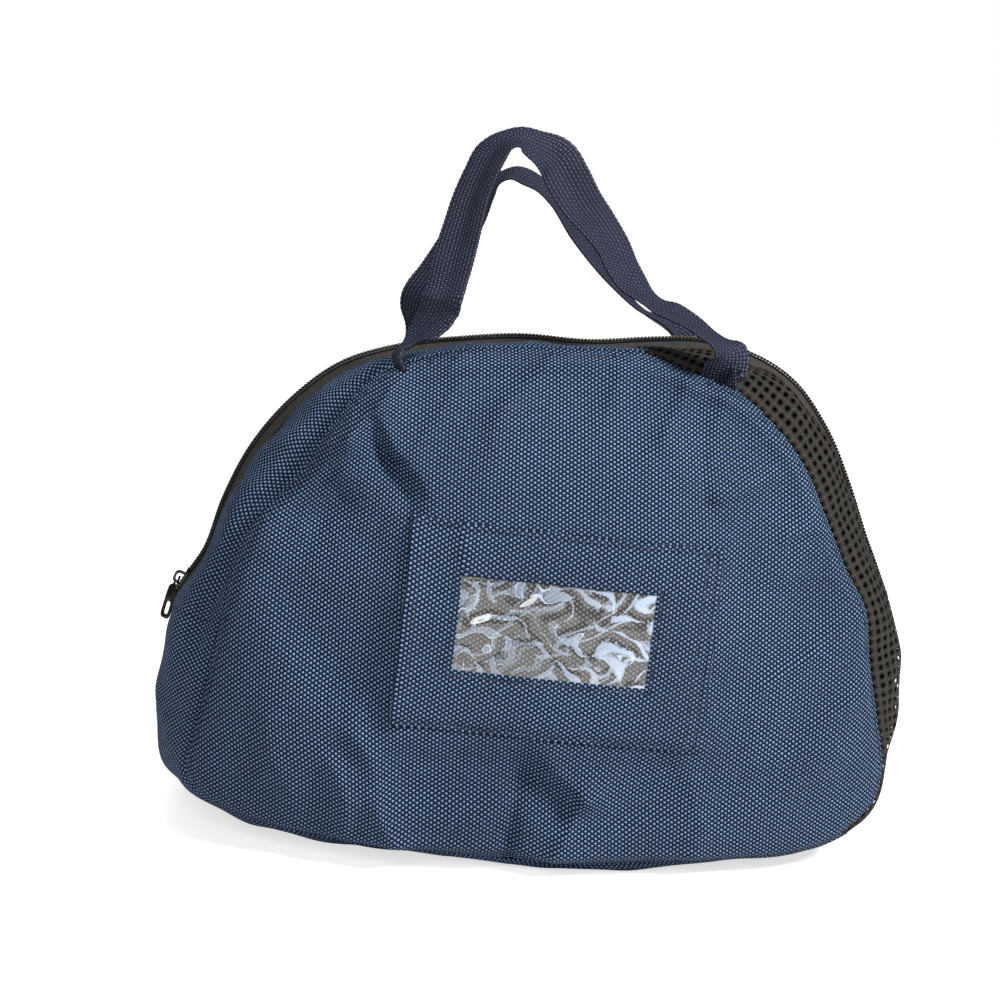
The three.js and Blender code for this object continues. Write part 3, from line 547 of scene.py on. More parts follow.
def addBump(tree, shader, height, distance):
    node = tree.nodes.new("ShaderNodeBump")
    node.inputs["Distance"].default_value = distance
    node.inputs["Strength"].default_value = 1.0
    tree.links.new(height, node.inputs["Height"])
    tree.links.new(node.outputs["Normal"], shader.inputs["Normal"])


# Dots are the floats of the upright threads, bright on a nearly black ground: the yarn's blue with a painted
# highlight on each float, and painted shade in the gaps between threads.
clothLook = {
    "across": 0.00157,
    "up": 0.00107,
    "wander": 0.0009,
    "dot": (0.235, 0.368, 0.600),
    "cross": (0.006, 0.017, 0.050),
    "gap": (0.0006, 0.0018, 0.006),
    "roughness": 0.58,
    "specular": 0.12,
    "bump": 0.0006,
}


def addWeave(tree, vector, look):
    weave = tree.nodes.new("ShaderNodeGroup")
    weave.node_tree = weaveGroup
    tree.links.new(vector, weave.inputs["Vector"])
    weave.inputs["Pitch Across"].default_value = look["across"]
    weave.inputs["Pitch Up"].default_value = look["up"]
    weave.inputs["Wander"].default_value = look["wander"]
    return weave


def makeClothMaterial(name, look):
    material, tree, shader = newMaterial(name)
    uv = addUv(tree)
    weave = addWeave(tree, uv, look)
    cloudy = addRange(tree, addNoise(tree, addObjectCoords(tree), 18, 3).outputs["Fac"], 0.3, 0.7)
    # Painted highlight: the dot colour carries each float's glint, and this noise dims some floats to seven
    # tenths of it.
    glint = addRange(tree, addNoise(tree, uv, 420, 2).outputs["Fac"], 0.25, 0.75)
    bright = addMix(tree, glint, tuple(c * 0.7 for c in look["dot"]), look["dot"])
    shade = addMath(tree, "ADD", addMath(tree, "MULTIPLY", cloudy, 0.2), 0.8)
    # Painted shade: the gaps between the threads go near black.
    under = addMix(tree, addRange(tree, weave.outputs["Under"], 0.1, 0.8), look["gap"], look["cross"])
    dots = addMath(tree, "MULTIPLY", addRange(tree, weave.outputs["Over"], 0.10, 0.52), shade)
    tree.links.new(addMix(tree, dots, under, bright), shader.inputs["Base Color"])
    rough = addMath(tree, "ADD", addMath(tree, "MULTIPLY", cloudy, 0.08), look["roughness"])
    tree.links.new(rough, shader.inputs["Roughness"])
    setValues(shader, look)
    addBump(tree, shader, weave.outputs["Height"], look["bump"])
    return material


webbingLook = {
    "across": 0.00167,
    "up": 0.00105,
    "wander": 0.0001,
    "dot": (0.070, 0.085, 0.175),
    "edge": (0.110, 0.125, 0.215),
    "cross": (0.026, 0.032, 0.070),
    "gap": (0.001, 0.0012, 0.004),
    "halfWidth": 0.0100,
    "edgeWidth": 0.0012,
    "roughness": 0.5,
    "specular": 0.3,
    "bump": 0.0006,
}


# Webbing: the same weave in columns along the strap, with lighter loops along both edges.
def makeWebbingMaterial(look):
    material, tree, shader = newMaterial("navyWebbing")
    uv = addUv(tree)
    weave = addWeave(tree, uv, look)
    axes = tree.nodes.new("ShaderNodeSeparateXYZ")
    tree.links.new(uv, axes.inputs[0])
    fade = addRange(tree, addNoise(tree, addObjectCoords(tree), 60, 3).outputs["Fac"], 0.25, 0.75)
    fromMiddle = addMath(tree, "ABSOLUTE", axes.outputs["X"])
    edge = addRange(tree, fromMiddle, look["halfWidth"] - look["edgeWidth"], look["halfWidth"])
    dot = addMix(tree, fade, tuple(c * 0.75 for c in look["dot"]), look["dot"])
    dot = addMix(tree, edge, dot, look["edge"])
    under = addMix(tree, addRange(tree, weave.outputs["Under"], 0.1, 0.8), look["gap"], look["cross"])
    color = addMix(tree, addRange(tree, weave.outputs["Over"], 0.1, 0.9), under, dot)
    tree.links.new(color, shader.inputs["Base Color"])
    setValues(shader, look)
    addBump(tree, shader, weave.outputs["Height"], look["bump"])
    return material


meshLook = {
    "along": 0.0042,
    "across": 0.0078,
    "hole": 0.73,
    "light": (0.066, 0.056, 0.045),
    "dark": (0.006, 0.006, 0.006),
    "roughness": 0.75,
    "specular": 0.2,
    "bump": 0.0008,
}


# Knitted mesh: oval holes in staggered rows. |cos(pi u / across) cos(pi v / along)| is 1 in the middle of
# each hole.
def makeMeshMaterial(look):
    material, tree, shader = newMaterial("airMesh")
    axes = tree.nodes.new("ShaderNodeSeparateXYZ")
    tree.links.new(addUv(tree), axes.inputs[0])
    u = addMath(tree, "DIVIDE", axes.outputs["X"], look["across"] / math.pi)
    v = addMath(tree, "DIVIDE", axes.outputs["Y"], look["along"] / math.pi)
    both = addMath(tree, "MULTIPLY", addMath(tree, "COSINE", u), addMath(tree, "COSINE", v))
    hump = addMath(tree, "ABSOLUTE", both)
    solid = addMath(tree, "SUBTRACT", 1.0, addRange(tree, hump, look["hole"] - 0.06, look["hole"] + 0.06))
    tree.links.new(solid, shader.inputs["Alpha"])
    fibres = addNoise(tree, addUv(tree), 1500, 3).outputs["Fac"]
    ridge = addMath(tree, "SUBTRACT", 1.0, addRange(tree, hump, 0.0, look["hole"]))
    height = addMath(tree, "ADD", ridge, addMath(tree, "MULTIPLY", fibres, 0.6))
    tone = addMath(tree, "MULTIPLY", ridge, addRange(tree, fibres, 0.3, 0.7))
    color = addMix(tree, tone, look["dark"], look["light"])
    tree.links.new(color, shader.inputs["Base Color"])
    setValues(shader, look)
    addBump(tree, shader, height, look["bump"])
    return material


tapeLook = {
    "across": 0.00065,
    "up": 0.00055,
    "wander": 0.0002,
    "light": (0.100, 0.092, 0.086),
    "dark": (0.030, 0.027, 0.026),
    "roughness": 0.8,
    "specular": 0.15,
    "bump": 0.00018,
}


def makeTapeMaterial(look):
    material, tree, shader = newMaterial("zipTape")
    uv = addUv(tree)
    weave = addWeave(tree, uv, look)
    cloudy = addRange(tree, addNoise(tree, uv, 400, 3).outputs["Fac"], 0.2, 0.8)
    mask = addMath(tree, "MULTIPLY", weave.outputs["Height"], addMath(tree, "ADD", cloudy, 0.4))
    color = addMix(tree, addRange(tree, mask, 0.0, 1.0, False), look["dark"], look["light"])
    tree.links.new(color, shader.inputs["Base Color"])
    setValues(shader, look)
    addBump(tree, shader, weave.outputs["Height"], look["bump"])
    return material


# A plain finish with a little grain: used for the teeth, the threads and the lacquered metal.
def makeGrainMaterial(name, low, high, roughness, metallic=0.0, scale=900, bump=0.00002, coat=0.0):
    material, tree, shader = newMaterial(name)
    noise = addNoise(tree, addObjectCoords(tree), scale, 4).outputs["Fac"]
    spread = addRange(tree, noise, 0.3, 0.7)
    tree.links.new(addMix(tree, spread, low, high), shader.inputs["Base Color"])
    rough = addMath(tree, "ADD", addMath(tree, "MULTIPLY", spread, 0.12), roughness)
    tree.links.new(rough, shader.inputs["Roughness"])
    shader.inputs["Metallic"].default_value = metallic
    shader.inputs["Coat Weight"].default_value = coat
    addBump(tree, shader, noise, bump)
    return material


filmLook = {
    "across": 0.00157,
    "up": 0.00107,
    "wander": 0.0005,
    "shadow": (0.060, 0.060, 0.062),
    "through": (0.215, 0.210, 0.205),
    # Colour of the painted reflection on the film.
    "paintedReflection": (0.58, 0.69, 0.88),
    "clear": 0.84,
    "cover": 0.94,
    "roughness": 0.1,
    "specular": 0.8,
    "coat": 1.0,
    "coatRoughness": 0.05,
}


# Clear film: dims what lies under it, drawn in dark shadow tones with the weave in them, and a painted
# reflection turns it bluish white on the crinkle patches that the crease attribute holds.
def makeFilmMaterial(look):
    material, tree, shader = newMaterial("clearFilm")
    crease = tree.nodes.new("ShaderNodeAttribute")
    crease.attribute_name = "crease"
    dust = addNoise(tree, addUv(tree), 500, 3).outputs["Fac"]
    reflectionAndDust = addMath(tree, "ADD", crease.outputs["Fac"], addMath(tree, "MULTIPLY", dust, 0.02))
    paintedReflection = addRange(tree, reflectionAndDust, 0.1, 0.95)
    weave = addWeave(tree, addUv(tree), look)
    ground = addMix(tree, addRange(tree, weave.outputs["Over"], 0.10, 0.6), look["shadow"], look["through"])
    tree.links.new(addMix(tree, paintedReflection, ground, look["paintedReflection"]), shader.inputs["Base Color"])
    added = addMath(tree, "MULTIPLY", paintedReflection, look["cover"] - look["clear"])
    tree.links.new(addMath(tree, "ADD", added, look["clear"]), shader.inputs["Alpha"])
    setValues(shader, look)
    return material


clothMaterial = makeClothMaterial("navyCloth", clothLook)
webbingMaterial = makeWebbingMaterial(webbingLook)
meshMaterial = makeMeshMaterial(meshLook)
tapeMaterial = makeTapeMaterial(tapeLook)
threadMaterial = makeGrainMaterial("navyThread", (0.012, 0.016, 0.035), (0.030, 0.040, 0.080), 0.5)
toothMaterial = makeGrainMaterial("blackTeeth", (0.010, 0.010, 0.011), (0.022, 0.021, 0.020), 0.28)
# Pale beads on the zip's coil: painted highlights.
glintBeadMaterial = makeGrainMaterial("glintBeads", (0.16, 0.13, 0.09), (0.30, 0.25, 0.18), 0.5)
lacquerMaterial = makeGrainMaterial("blackLacquer", (0.006, 0.006, 0.007), (0.012, 0.012, 0.013), 0.2, 0.6,
                                    coat=0.6)
filmMaterial = makeFilmMaterial(filmLook)
print("materials made")

# Front and back panel: points across and up, and the seam's groove.
panel = {
    "across": 210,
    "up": 160,
    "wall": 0.0013,
    "mapCalming": 120,
    "seamGroove": 0.0018,
    "grooveWidth": 0.0018,
}
pocket = {
    "width": 0.136,
    "height": 0.090,
    "turn": -3.8,
    "x": 0.0015,
    "z": 0.109,
    "lift": 0.0005,
    "wall": 0.0011,
    "slot": 0.0014,
    "puff": 0.0006,
    "windowWidth": 0.0845,
    "windowHeight": 0.041,
    "windowX": -0.0026,
    "windowZ": 0.003,
    "step": 0.0012,
}


# Arc length along x and z over the panel, so that the weave keeps its size on the bulge. Rows next to
# each other are averaged many times, which keeps the threads straight where the folds are steep.
def makeWeaveMap(side):
    xs = np.linspace(-0.19, 0.19, 191)
    zs = np.linspace(-0.01, 0.25, 131)
    depth = panelDepth(xs[None, :], zs[:, None], side)
    stepX = np.hypot(np.gradient(depth, axis=1), xs[1] - xs[0])
    stepZ = np.hypot(np.gradient(depth, axis=0), zs[1] - zs[0])
    u = np.cumsum(stepX, axis=1)
    v = np.cumsum(stepZ, axis=0)
    u -= u[:, 95:96]
    v -= v[54:55, :]
    for _ in range(panel["mapCalming"]):
        u[1:-1] = (u[:-2] + 2 * u[1:-1] + u[2:]) / 4
        v[:, 1:-1] = (v[:, :-2] + 2 * v[:, 1:-1] + v[:, 2:]) / 4
    return xs, zs, u, v


# The panel's grid: the square a, b in -1..1 is drawn onto the disc (a sqrt(1 - b^2/2), b sqrt(1 - a^2/2)),
# and the disc's rays are stretched to the seam.
def panelGrid(side, across, up):
    a, b = np.meshgrid(np.linspace(-1, 1, across), np.linspace(-1, 1, up))
    discX = a * np.sqrt(1 - b**2 / 2)
    discZ = b * np.sqrt(1 - a**2 / 2)
    angle = np.arctan2(discX, discZ)
    angles, reaches, _ = rims[side]
    reach = np.interp(angle, angles, reaches, period=2 * np.pi)
    r = np.minimum(np.hypot(discX, discZ), 1)
    x = np.sin(angle) * reach * r
    z = np.cos(angle) * reach * r + body["centreHeight"]
    depth = panelDepth(x, z, side)
    points = stack(x, side * depth, z)
    inward = -unit(stack(0.5 * np.sin(angle), np.full_like(angle, side), 0.5 * np.cos(angle)))
    groove = panel["seamGroove"] * np.exp(-((1 - r) * reach / panel["grooveWidth"])**2)
    return points + inward * groove[..., None], x, z


# Cloth: the panel, held at its seam, gets a little more cloth than it needs and settles into small
# folds under its own weight, with a light pressure from the padding. Only the depth it gains is kept,
# as a table over a and b.
def settleCloth(name, side):
    points, x, z = panelGrid(side, settled["across"], settled["up"])
    piece = gridMesh(name, points)
    border = np.ones(points.shape[:2], bool)
    border[1:-1, 1:-1] = False
    held = piece.vertex_groups.new(name="seam")
    held.add(np.flatnonzero(border.ravel()).tolist(), 1.0, "REPLACE")
    cloth = piece.modifiers.new("settle", "CLOTH")
    how = cloth.settings
    how.quality = settled["quality"]
    how.mass = settled["mass"]
    how.tension_stiffness = how.compression_stiffness = settled["tension"]
    how.shear_stiffness = settled["shear"]
    how.bending_stiffness = settled["bending"]
    how.air_damping = settled["airDamping"]
    how.vertex_group_mass = "seam"
    how.shrink_min = -settled["spare"]
    how.use_pressure = True
    how.uniform_pressure_force = settled["pressure"]
    how.effector_weights.gravity = settled["gravity"]
    cloth.collision_settings.use_collision = False
    cloth.collision_settings.use_self_collision = False
    cloth.point_cache.frame_start, cloth.point_cache.frame_end = 1, settled["frames"]
    shot = bpy.context.scene
    for number in range(1, settled["frames"] + 1):
        shot.frame_set(number)
    mesh = piece.evaluated_get(bpy.context.evaluated_depsgraph_get()).data
    moved = np.empty(len(mesh.vertices) * 3, np.float32)
    mesh.vertices.foreach_get("co", moved)
    moved = moved.reshape(points.shape)
    shot.frame_set(1)
    bpy.data.objects.remove(piece)
    gain = side * (moved[..., 1] - points[..., 1])
    gain = settled["most"] * np.tanh((gain - gain[~border].mean() * 0.5) / settled["most"])
    gain[border] = 0
    for _ in range(settled["calming"]):
        gain[1:-1, 1:-1] = (gain[1:-1, 1:-1] * 4 + gain[:-2, 1:-1] + gain[2:, 1:-1]
                            + gain[1:-1, :-2] + gain[1:-1, 2:]) / 8
    if side < 0:
        away = np.maximum(np.abs(x - pocket["x"]) - pocket["width"] / 2,
                          np.abs(z - pocket["z"]) - pocket["height"] / 2)
        free = np.clip(away / settled["pocketMargin"], 0, 1)
        gain *= settled["underPocket"] + (1 - settled["underPocket"]) * free
    print(name, "moved by", gain.min(), gain.max(), gain.std())
    marks = [np.linspace(-1, 1, n) for n in gain.shape[::-1]]
    fine = [np.linspace(-1, 1, (n - 1) * settled["fine"] + 1) for n in gain.shape[::-1]]
    table = hermite(marks[1], gain, fine[1])
    table = hermite(marks[0], table.T.copy(), fine[0]).T
    settledTables[side] = (fine, table)


# Point and outward normal of a panel at x and z, from the depths a small step to each side.
def onPanelAt(x, z, side):
    step = 0.0015
    slopeX = (panelDepth(x + step, z, side) - panelDepth(x - step, z, side)) / (2 * step)
    slopeZ = (panelDepth(x, z + step, side) - panelDepth(x, z - step, side)) / (2 * step)
    normal = unit(stack(-slopeX, side * np.ones_like(slopeX), -slopeZ))
    return stack(x, side * panelDepth(x, z, side), z), normal


def makePanel(name, side, node):
    points, x, z = panelGrid(side, panel["across"], panel["up"])
    xs, zs, u, v = makeWeaveMap(side)
    uv = stack(bilinear(xs, zs, u, x, z) * -side, bilinear(xs, zs, v, x, z))
    piece = gridMesh(name, points, uv)
    return finishPiece(piece, clothMaterial, thickness=panel["wall"], replaces=(node,))


settleCloth("frontSettling", -1)
settleCloth("backSettling", 1)
makePanel("frontCloth", -1, "front_panel")
makePanel("backCloth", 1, "back_panel")
print("panels made")

zipSizes = {
    "tapeWidth": 0.0095,
    "coilWidth": 0.006,
    "toothPitch": 0.00164,
    "tapeSink": 0.0003,
    "toothLift": 0.0009,
    "beadRadius": 0.00042,
    "beadAside": 0.0019,
    "tapeTuck": 0.002,
    "tapeGap": 0.0006,
    "tapeWall": 0.0006,
    "coreHalf": 0.0024,
    "coreWall": 0.0014,
}
tapeEdge = zipSizes["coilWidth"] / 2 + zipSizes["tapeWidth"]
sides = {
    "step": 0.0017,
    "wall": 0.0013,
    "meshWall": 0.0022,
    "valley": 0.0062,
    "valleyFrom": 0.0065,
    "valleyWidth": 0.0060,
    "crumple": 0.0007,
    "calmSeam": 0.006,
    "roof": 0.0022,
    "roofAt": 0.014,
    "roofWidth": 0.009,
    "zipEnd": 0.02,
    "pullStart": 0.03,
    "pullEnd": 0.02,
    "edgeRoll": 0.0008,
    "rollWidth": 0.0007,
}


def crestLength(start, end):
    t = np.linspace(start, end, 400)
    spot = loopAt(t)
    crest = stack(spot["crestX"], spot["crestZ"])
    return np.linalg.norm(np.diff(crest, axis=0), axis=1).sum()


# A strip of the side from place start to end, between two distances from the middle line.
# An edge given as "seam" runs down into the seam's groove.
def sideStrip(start, end, low, high, lift=0.0, edgeRoll=0.0):
    length = crestLength(start, end)
    t = np.linspace(start, end, max(4, int(length / sides["step"])))[:, None]
    spot = loopAt(t)
    lowY = -spot["seamY"] if low == "seam" else np.full_like(t, low)
    highY = spot["seamY"] if high == "seam" else np.full_like(t, high)
    wide = float(np.max(highY - lowY))
    share = np.linspace(0, 1, max(4, int(wide / sides["step"])))[None, :]
    across = (lowY + (highY - lowY) * share) / spot["seamY"]
    points = sidePoint(t, across)
    normals = gridNormals(points)
    toSeam = (1 - np.abs(across)) * spot["seamY"]
    drop = -panel["seamGroove"] * np.exp(-(toSeam / panel["grooveWidth"])**2)
    pulled = (np.clip((t - place["zipLeft"] + sides["pullStart"]) / sides["pullStart"], 0, 1)
              * np.clip((place["handleLeft"] - t) / sides["pullEnd"], 0, 1))
    pulled = pulled**2 * (3 - 2 * pulled) * np.where(across < 0, 1, 0.6)
    valley = np.exp(-((toSeam - sides["valleyFrom"]) / sides["valleyWidth"])**2)
    drop = drop - sides["valley"] * pulled * valley
    y = points[..., 1]
    crumple = (np.sin(y * 150 + 2.0 * np.sin(t * 70)) * np.sin(t * 95 + 1.5 * np.sin(y * 60))
               + 0.5 * np.sin(t * 190 + y * 120))
    drop = drop + sides["crumple"] * crumple * (1 - np.exp(-(toSeam / sides["calmSeam"])**2)) * (lift == 0)
    zipped = (np.clip((t - place["zipLeft"]) / sides["zipEnd"], 0, 1)
              * np.clip((place["zipRight"] - t) / sides["zipEnd"], 0, 1))
    fromMiddle = np.abs(across) * spot["seamY"]
    drop = drop - sides["roof"] * zipped * np.exp(-((fromMiddle - sides["roofAt"]) / sides["roofWidth"])**2)
    if edgeRoll:
        toEdge = np.minimum(np.where(low == "seam", 1.0, share * (highY - lowY)),
                            np.where(high == "seam", 1.0, (1 - share) * (highY - lowY)))
        drop = drop - edgeRoll * np.exp(-(toEdge / sides["rollWidth"])**2)
    points = points + normals * (lift + drop)[..., None]
    along = np.append(0, np.cumsum(np.linalg.norm(np.diff(points[:, 0], axis=0), axis=1)))[:, None]
    acrossLength = np.cumsum(np.linalg.norm(np.diff(points, axis=1, prepend=points[:, :1]), axis=2), axis=1)
    acrossLength = acrossLength - acrossLength[:, :1]
    uv = stack(acrossLength, np.broadcast_to(along, acrossLength.shape))
    return points, uv


def makeSide(name, start, end, low, high, material, node, wall, lift=0.0, edgeRoll=0.0):
    points, uv = sideStrip(start, end, low, high, lift, edgeRoll)
    piece = gridMesh(name, points, uv)
    return finishPiece(piece, material, thickness=wall, replaces=(node,))


makeSide("baseCloth", place["baseRight"] - 1.002, place["baseLeft"] + 0.002, "seam", "seam",
         clothMaterial, "base_panel", sides["wall"])
makeSide("leftEndCloth", place["baseLeft"] - 0.001, place["zipLeft"] + 0.001, "seam", "seam",
         clothMaterial, "left_end", sides["wall"])
makeSide("meshEnd", place["zipRight"] - 0.001, place["baseRight"] + 0.001, "seam", "seam",
         meshMaterial, "mesh_end", sides["meshWall"])
for label, low, high in (("Front", "seam", -tapeEdge), ("Back", tapeEdge, "seam")):
    makeSide(f"sideCloth{label}", place["zipLeft"], place["meshStart"], low, high, clothMaterial,
             f"side_cloth_{label.lower()}", sides["wall"], edgeRoll=sides["edgeRoll"])
    makeSide(f"sideMesh{label}", place["meshStart"], place["zipRight"], low, high, meshMaterial,
             f"side_mesh_{label.lower()}", sides["meshWall"])
print("sides made")


def makeTape(label, low, high):
    points, uv = sideStrip(place["zipLeft"] - 0.002, place["zipRight"] + 0.002, low, high,
                           lift=-zipSizes["tapeSink"])
    piece = gridMesh(f"zipTape{label}", points, uv)
    return finishPiece(piece, tapeMaterial, thickness=zipSizes["tapeWall"],
                       replaces=(f"zip_tape_{label.lower()}",))


makeTape("Front", -tapeEdge - zipSizes["tapeTuck"], -zipSizes["tapeGap"])
makeTape("Back", zipSizes["tapeGap"], tapeEdge + zipSizes["tapeTuck"])


# Teeth: flat loops across the zip, one row a half pitch after the other, along the crest.
def makeTeeth():
    t = np.linspace(place["zipLeft"], place["zipRight"], 1200)
    crest = sidePoint(t, np.zeros_like(t))
    form, faces = capsule(zipSizes["coilWidth"] * 0.58, zipSizes["toothPitch"] * 0.33)
    places, xs, ys, zs = [], [], [], []
    for side in (-1, 1):
        points, along = resample(crest, zipSizes["toothPitch"])
        across = np.broadcast_to([0.0, 1.0, 0.0], along.shape)
        out = unit(np.cross(along, across))
        out *= np.sign(np.sum(out * (points - bodyMiddle), axis=1))[:, None]
        shift = along * (side * zipSizes["toothPitch"] / 4) + across * side * zipSizes["coilWidth"] * 0.24
        places.append(points + shift + out * zipSizes["toothLift"])
        xs.append(across)
        ys.append(along)
        zs.append(np.cross(xs[-1], ys[-1]))
    piece = repeatedMesh("zipTeeth", form, faces, *(np.vstack(part) for part in (places, xs, ys, zs)))
    # Two rows of pale beads along the coil stand for its highlights: painted highlight.
    beadForm, beadFaces = capsule(zipSizes["toothPitch"] * 0.62, zipSizes["beadRadius"], along=4)
    points, along = resample(crest, zipSizes["toothPitch"])
    lifted = points + out * (zipSizes["toothLift"] + zipSizes["toothPitch"] * 0.1)
    lifted = np.vstack([lifted + across * side * zipSizes["beadAside"] for side in (-1, 1)])
    along, across = np.vstack([along, along]), np.vstack([across, across])
    beads = repeatedMesh("zipGlintBeads", beadForm, beadFaces, lifted, along, across, np.cross(along, across))
    finishPiece(beads, glintBeadMaterial)
    core, uv = sideStrip(place["zipLeft"], place["zipRight"], -zipSizes["coreHalf"], zipSizes["coreHalf"],
                         lift=zipSizes["toothLift"] * 1.15)
    core = gridMesh("zipCore", core, uv)
    finishPiece(core, toothMaterial, thickness=zipSizes["coreWall"])
    return finishPiece(piece, toothMaterial, replaces=("zip_coil",))


makeTeeth()
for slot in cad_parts["zip_slider"].material_slots:
    slot.material = lacquerMaterial

# The tab's own frame: its pin at the origin, x down the blade, z out of the bag.
tab = {
    "pin": (-0.16907, 0.0, 0.10882),
    "down": (-0.26556, 0.0, -0.96409),
    "out": (-0.96409, 0.0, 0.26556),
    "bladeMiddle": 0.0125,
    "bladeHalf": (0.0085, 0.0027),
    "holeMiddle": 0.0158,
    "holeHalf": (0.0032, 0.0012),
    "eyeMiddle": 0.0021,
    "eyeHalf": (0.0022, 0.0018),
    "wire": 0.00055,
    "thickness": 0.0013,
    "turn": -58.0,
    "swing": 0.0012,
}


# Rounded rectangle by angle: (a cos t / n, b sin t / n), n = (|cos t|^p + |sin t|^p)^(1/p).
def roundedLoop(middle, half, power, count=72):
    t = np.linspace(0, 2 * np.pi, count, endpoint=False)
    size = (np.abs(np.cos(t))**power + np.abs(np.sin(t))**power)**(1 / power)
    return stack(middle + half[0] * np.cos(t) / size, half[1] * np.sin(t) / size)


# Blade with one hole and a wire eye at the pin, turned about its own length past the eye.
def makeTab():
    outer = roundedLoop(tab["bladeMiddle"], tab["bladeHalf"], 5)
    inner = roundedLoop(tab["holeMiddle"], tab["holeHalf"], 4)
    profile = np.array([(0, -0.6), (0, 0.6), (0.12, 1), (0.88, 1),
                        (1, 0.6), (1, -0.6), (0.88, -1), (0.12, -1)])
    share = profile[:, 0][None, :, None]
    flat = outer[:, None] * (1 - share) + inner[:, None] * share
    height = np.broadcast_to(profile[:, 1] * tab["thickness"] / 2, flat.shape[:2])
    blade = stack(flat[..., 0], flat[..., 1], height)
    loop = roundedLoop(tab["eyeMiddle"], tab["eyeHalf"], 3)
    away = unit(loop - np.array([tab["eyeMiddle"], 0]))
    angle = np.linspace(0, 2 * np.pi, 8, endpoint=False)
    ring = loop[:, None] + away[:, None] * (tab["wire"] * np.cos(angle))[None, :, None]
    eye = stack(ring[..., 0], ring[..., 1], np.broadcast_to(tab["wire"] * np.sin(angle), ring.shape[:2]))
    pieces = []
    for points in (blade, eye):
        past = np.clip((points[..., 0] - 0.0015) / 0.004, 0, 1)
        past = past * past * (3 - 2 * past)
        turn = math.radians(tab["turn"]) * past
        y = points[..., 1] * np.cos(turn) - points[..., 2] * np.sin(turn)
        z = points[..., 1] * np.sin(turn) + points[..., 2] * np.cos(turn) + tab["swing"] * past
        placed = (np.array(tab["pin"]) + points[..., 0:1] * np.array(tab["down"])
                  + y[..., None] * np.array([0.0, -1.0, 0.0]) + z[..., None] * np.array(tab["out"]))
        rows, cols = placed.shape[:2]
        index = np.arange(rows * cols).reshape(rows, cols)
        index = np.pad(index, ((0, 1), (0, 1)), mode="wrap")
        pieces.append(solidMesh("tabPart", placed.reshape(-1, 3), quadFaces(index)))
    piece = joinPieces("zipTab", pieces)
    return finishPiece(piece, lacquerMaterial, bodyName="zip_pull", replaces=("pull_tab",))


print("zip made")

strap = {
    "width": 0.020,
    "thickness": 0.0014,
    "rootSink": 0.0015,
    "rootRise": 0.003,
    "step": 0.0006,
    "across": 18,
    "scallop": 0.00035,
    "pinchAt": (0.0, 0.004, 0.010, 0.015, 0.021, 0.026),
    "pinch": (0.80, 0.55, 0.34, 0.46, 0.88, 1.0),
    "bunch": 1.3,
}
# Columns: x share of the width, y share of half the depth, rise share of the handle's rise, yaw, pitch.
frontHandle = {
    "rise": 0.087,
    "side": -1,
    "leftTurn": 1,
    "leftTilt": 1.8,
    "leftShift": -0.008,
    "rightTurn": 1,
    "crease": 0.0014,
    "rows": np.array([
        (-0.190, -0.41, -0.050, 120, 0),
        (-0.178, -0.39, 0.005, 132, 0),
        (-0.168, -0.39, 0.050, 140, 0),
        (-0.160, -0.39, 0.092, 145, 0),
        (-0.156, -0.39, 0.130, 147, 0),
        (-0.152, -0.40, 0.184, 147, 0),
        (-0.148, -0.37, 0.243, 147, 0),
        (-0.140, -0.34, 0.391, 152, -2),
        (-0.131, -0.32, 0.546, 146, -4),
        (-0.122, -0.30, 0.695, 138, 4),
        (-0.111, -0.28, 0.816, 132, 10),
        (-0.098, -0.26, 0.925, 124, 18),
        (-0.083, -0.25, 0.983, 104, 20),
        (-0.066, -0.24, 1.000, 72, 24),
        (-0.041, -0.24, 0.965, 42, 20),
        (-0.015, -0.24, 0.900, 10, 14),
        (-0.001, -0.25, 0.812, 5, 32),
        (0.017, -0.26, 0.702, 22, 32),
        (0.039, -0.28, 0.597, 34, 24),
        (0.059, -0.30, 0.492, 40, 16),
        (0.073, -0.32, 0.384, 42, 13),
        (0.089, -0.34, 0.297, 48, 11),
        (0.103, -0.36, 0.246, 62, 8),
        (0.118, -0.38, 0.206, 76, 14),
        (0.137, -0.41, 0.180, 75, 18),
        (0.157, -0.44, 0.140, 71, 14),
        (0.177, -0.48, 0.086, 63, 5),
        (0.204, -0.52, 0.005, 30, -12),
    ]),
}
backHandle = {
    "rise": 0.071,
    "side": 1,
    "leftTurn": 1,
    "leftTilt": -0.5,
    "leftShift": 0.006,
    "rightTurn": -1,
    "crease": -0.0014,
    "rows": np.array([
        (-0.180, 0.43, -0.030, -29, 0),
        (-0.178, 0.41, 0.050, -28, 0),
        (-0.171, 0.38, 0.165, -28, -4),
        (-0.153, 0.36, 0.310, -34, -14),
        (-0.131, 0.33, 0.525, -48, -20),
        (-0.108, 0.30, 0.735, -60, -20),
        (-0.092, 0.28, 0.880, -78, -18),
        (-0.079, 0.27, 0.962, -94, -15),
        (-0.063, 0.26, 1.000, -98, -15),
        (-0.045, 0.26, 0.985, -100, -20),
        (-0.028, 0.26, 0.950, -100, -18),
        (-0.005, 0.27, 0.860, -108, -12),
        (0.032, 0.29, 0.630, -113, -13),
        (0.073, 0.31, 0.405, -112, -11),
        (0.112, 0.34, 0.205, -99, -5),
        (0.140, 0.40, 0.110, -96, 2),
        (0.170, 0.47, 0.020, -120, 6),
        (0.196, 0.52, -0.070, -158, 10),
    ]),
}


# Direction out of the body at a seam: away from the panel's middle and out of the panel.
def seamOut(t, side):
    point = seamPoint(t, side)
    x, z = point[0] * 0.97, body["centreHeight"] + (point[2] - body["centreHeight"]) * 0.97
    onPanel = np.array([x, side * panelDepth(x, z, side), z])
    onSide = sidePoint(t, side * 0.9)
    return unit(unit(point - onPanel) + unit(point - onSide))


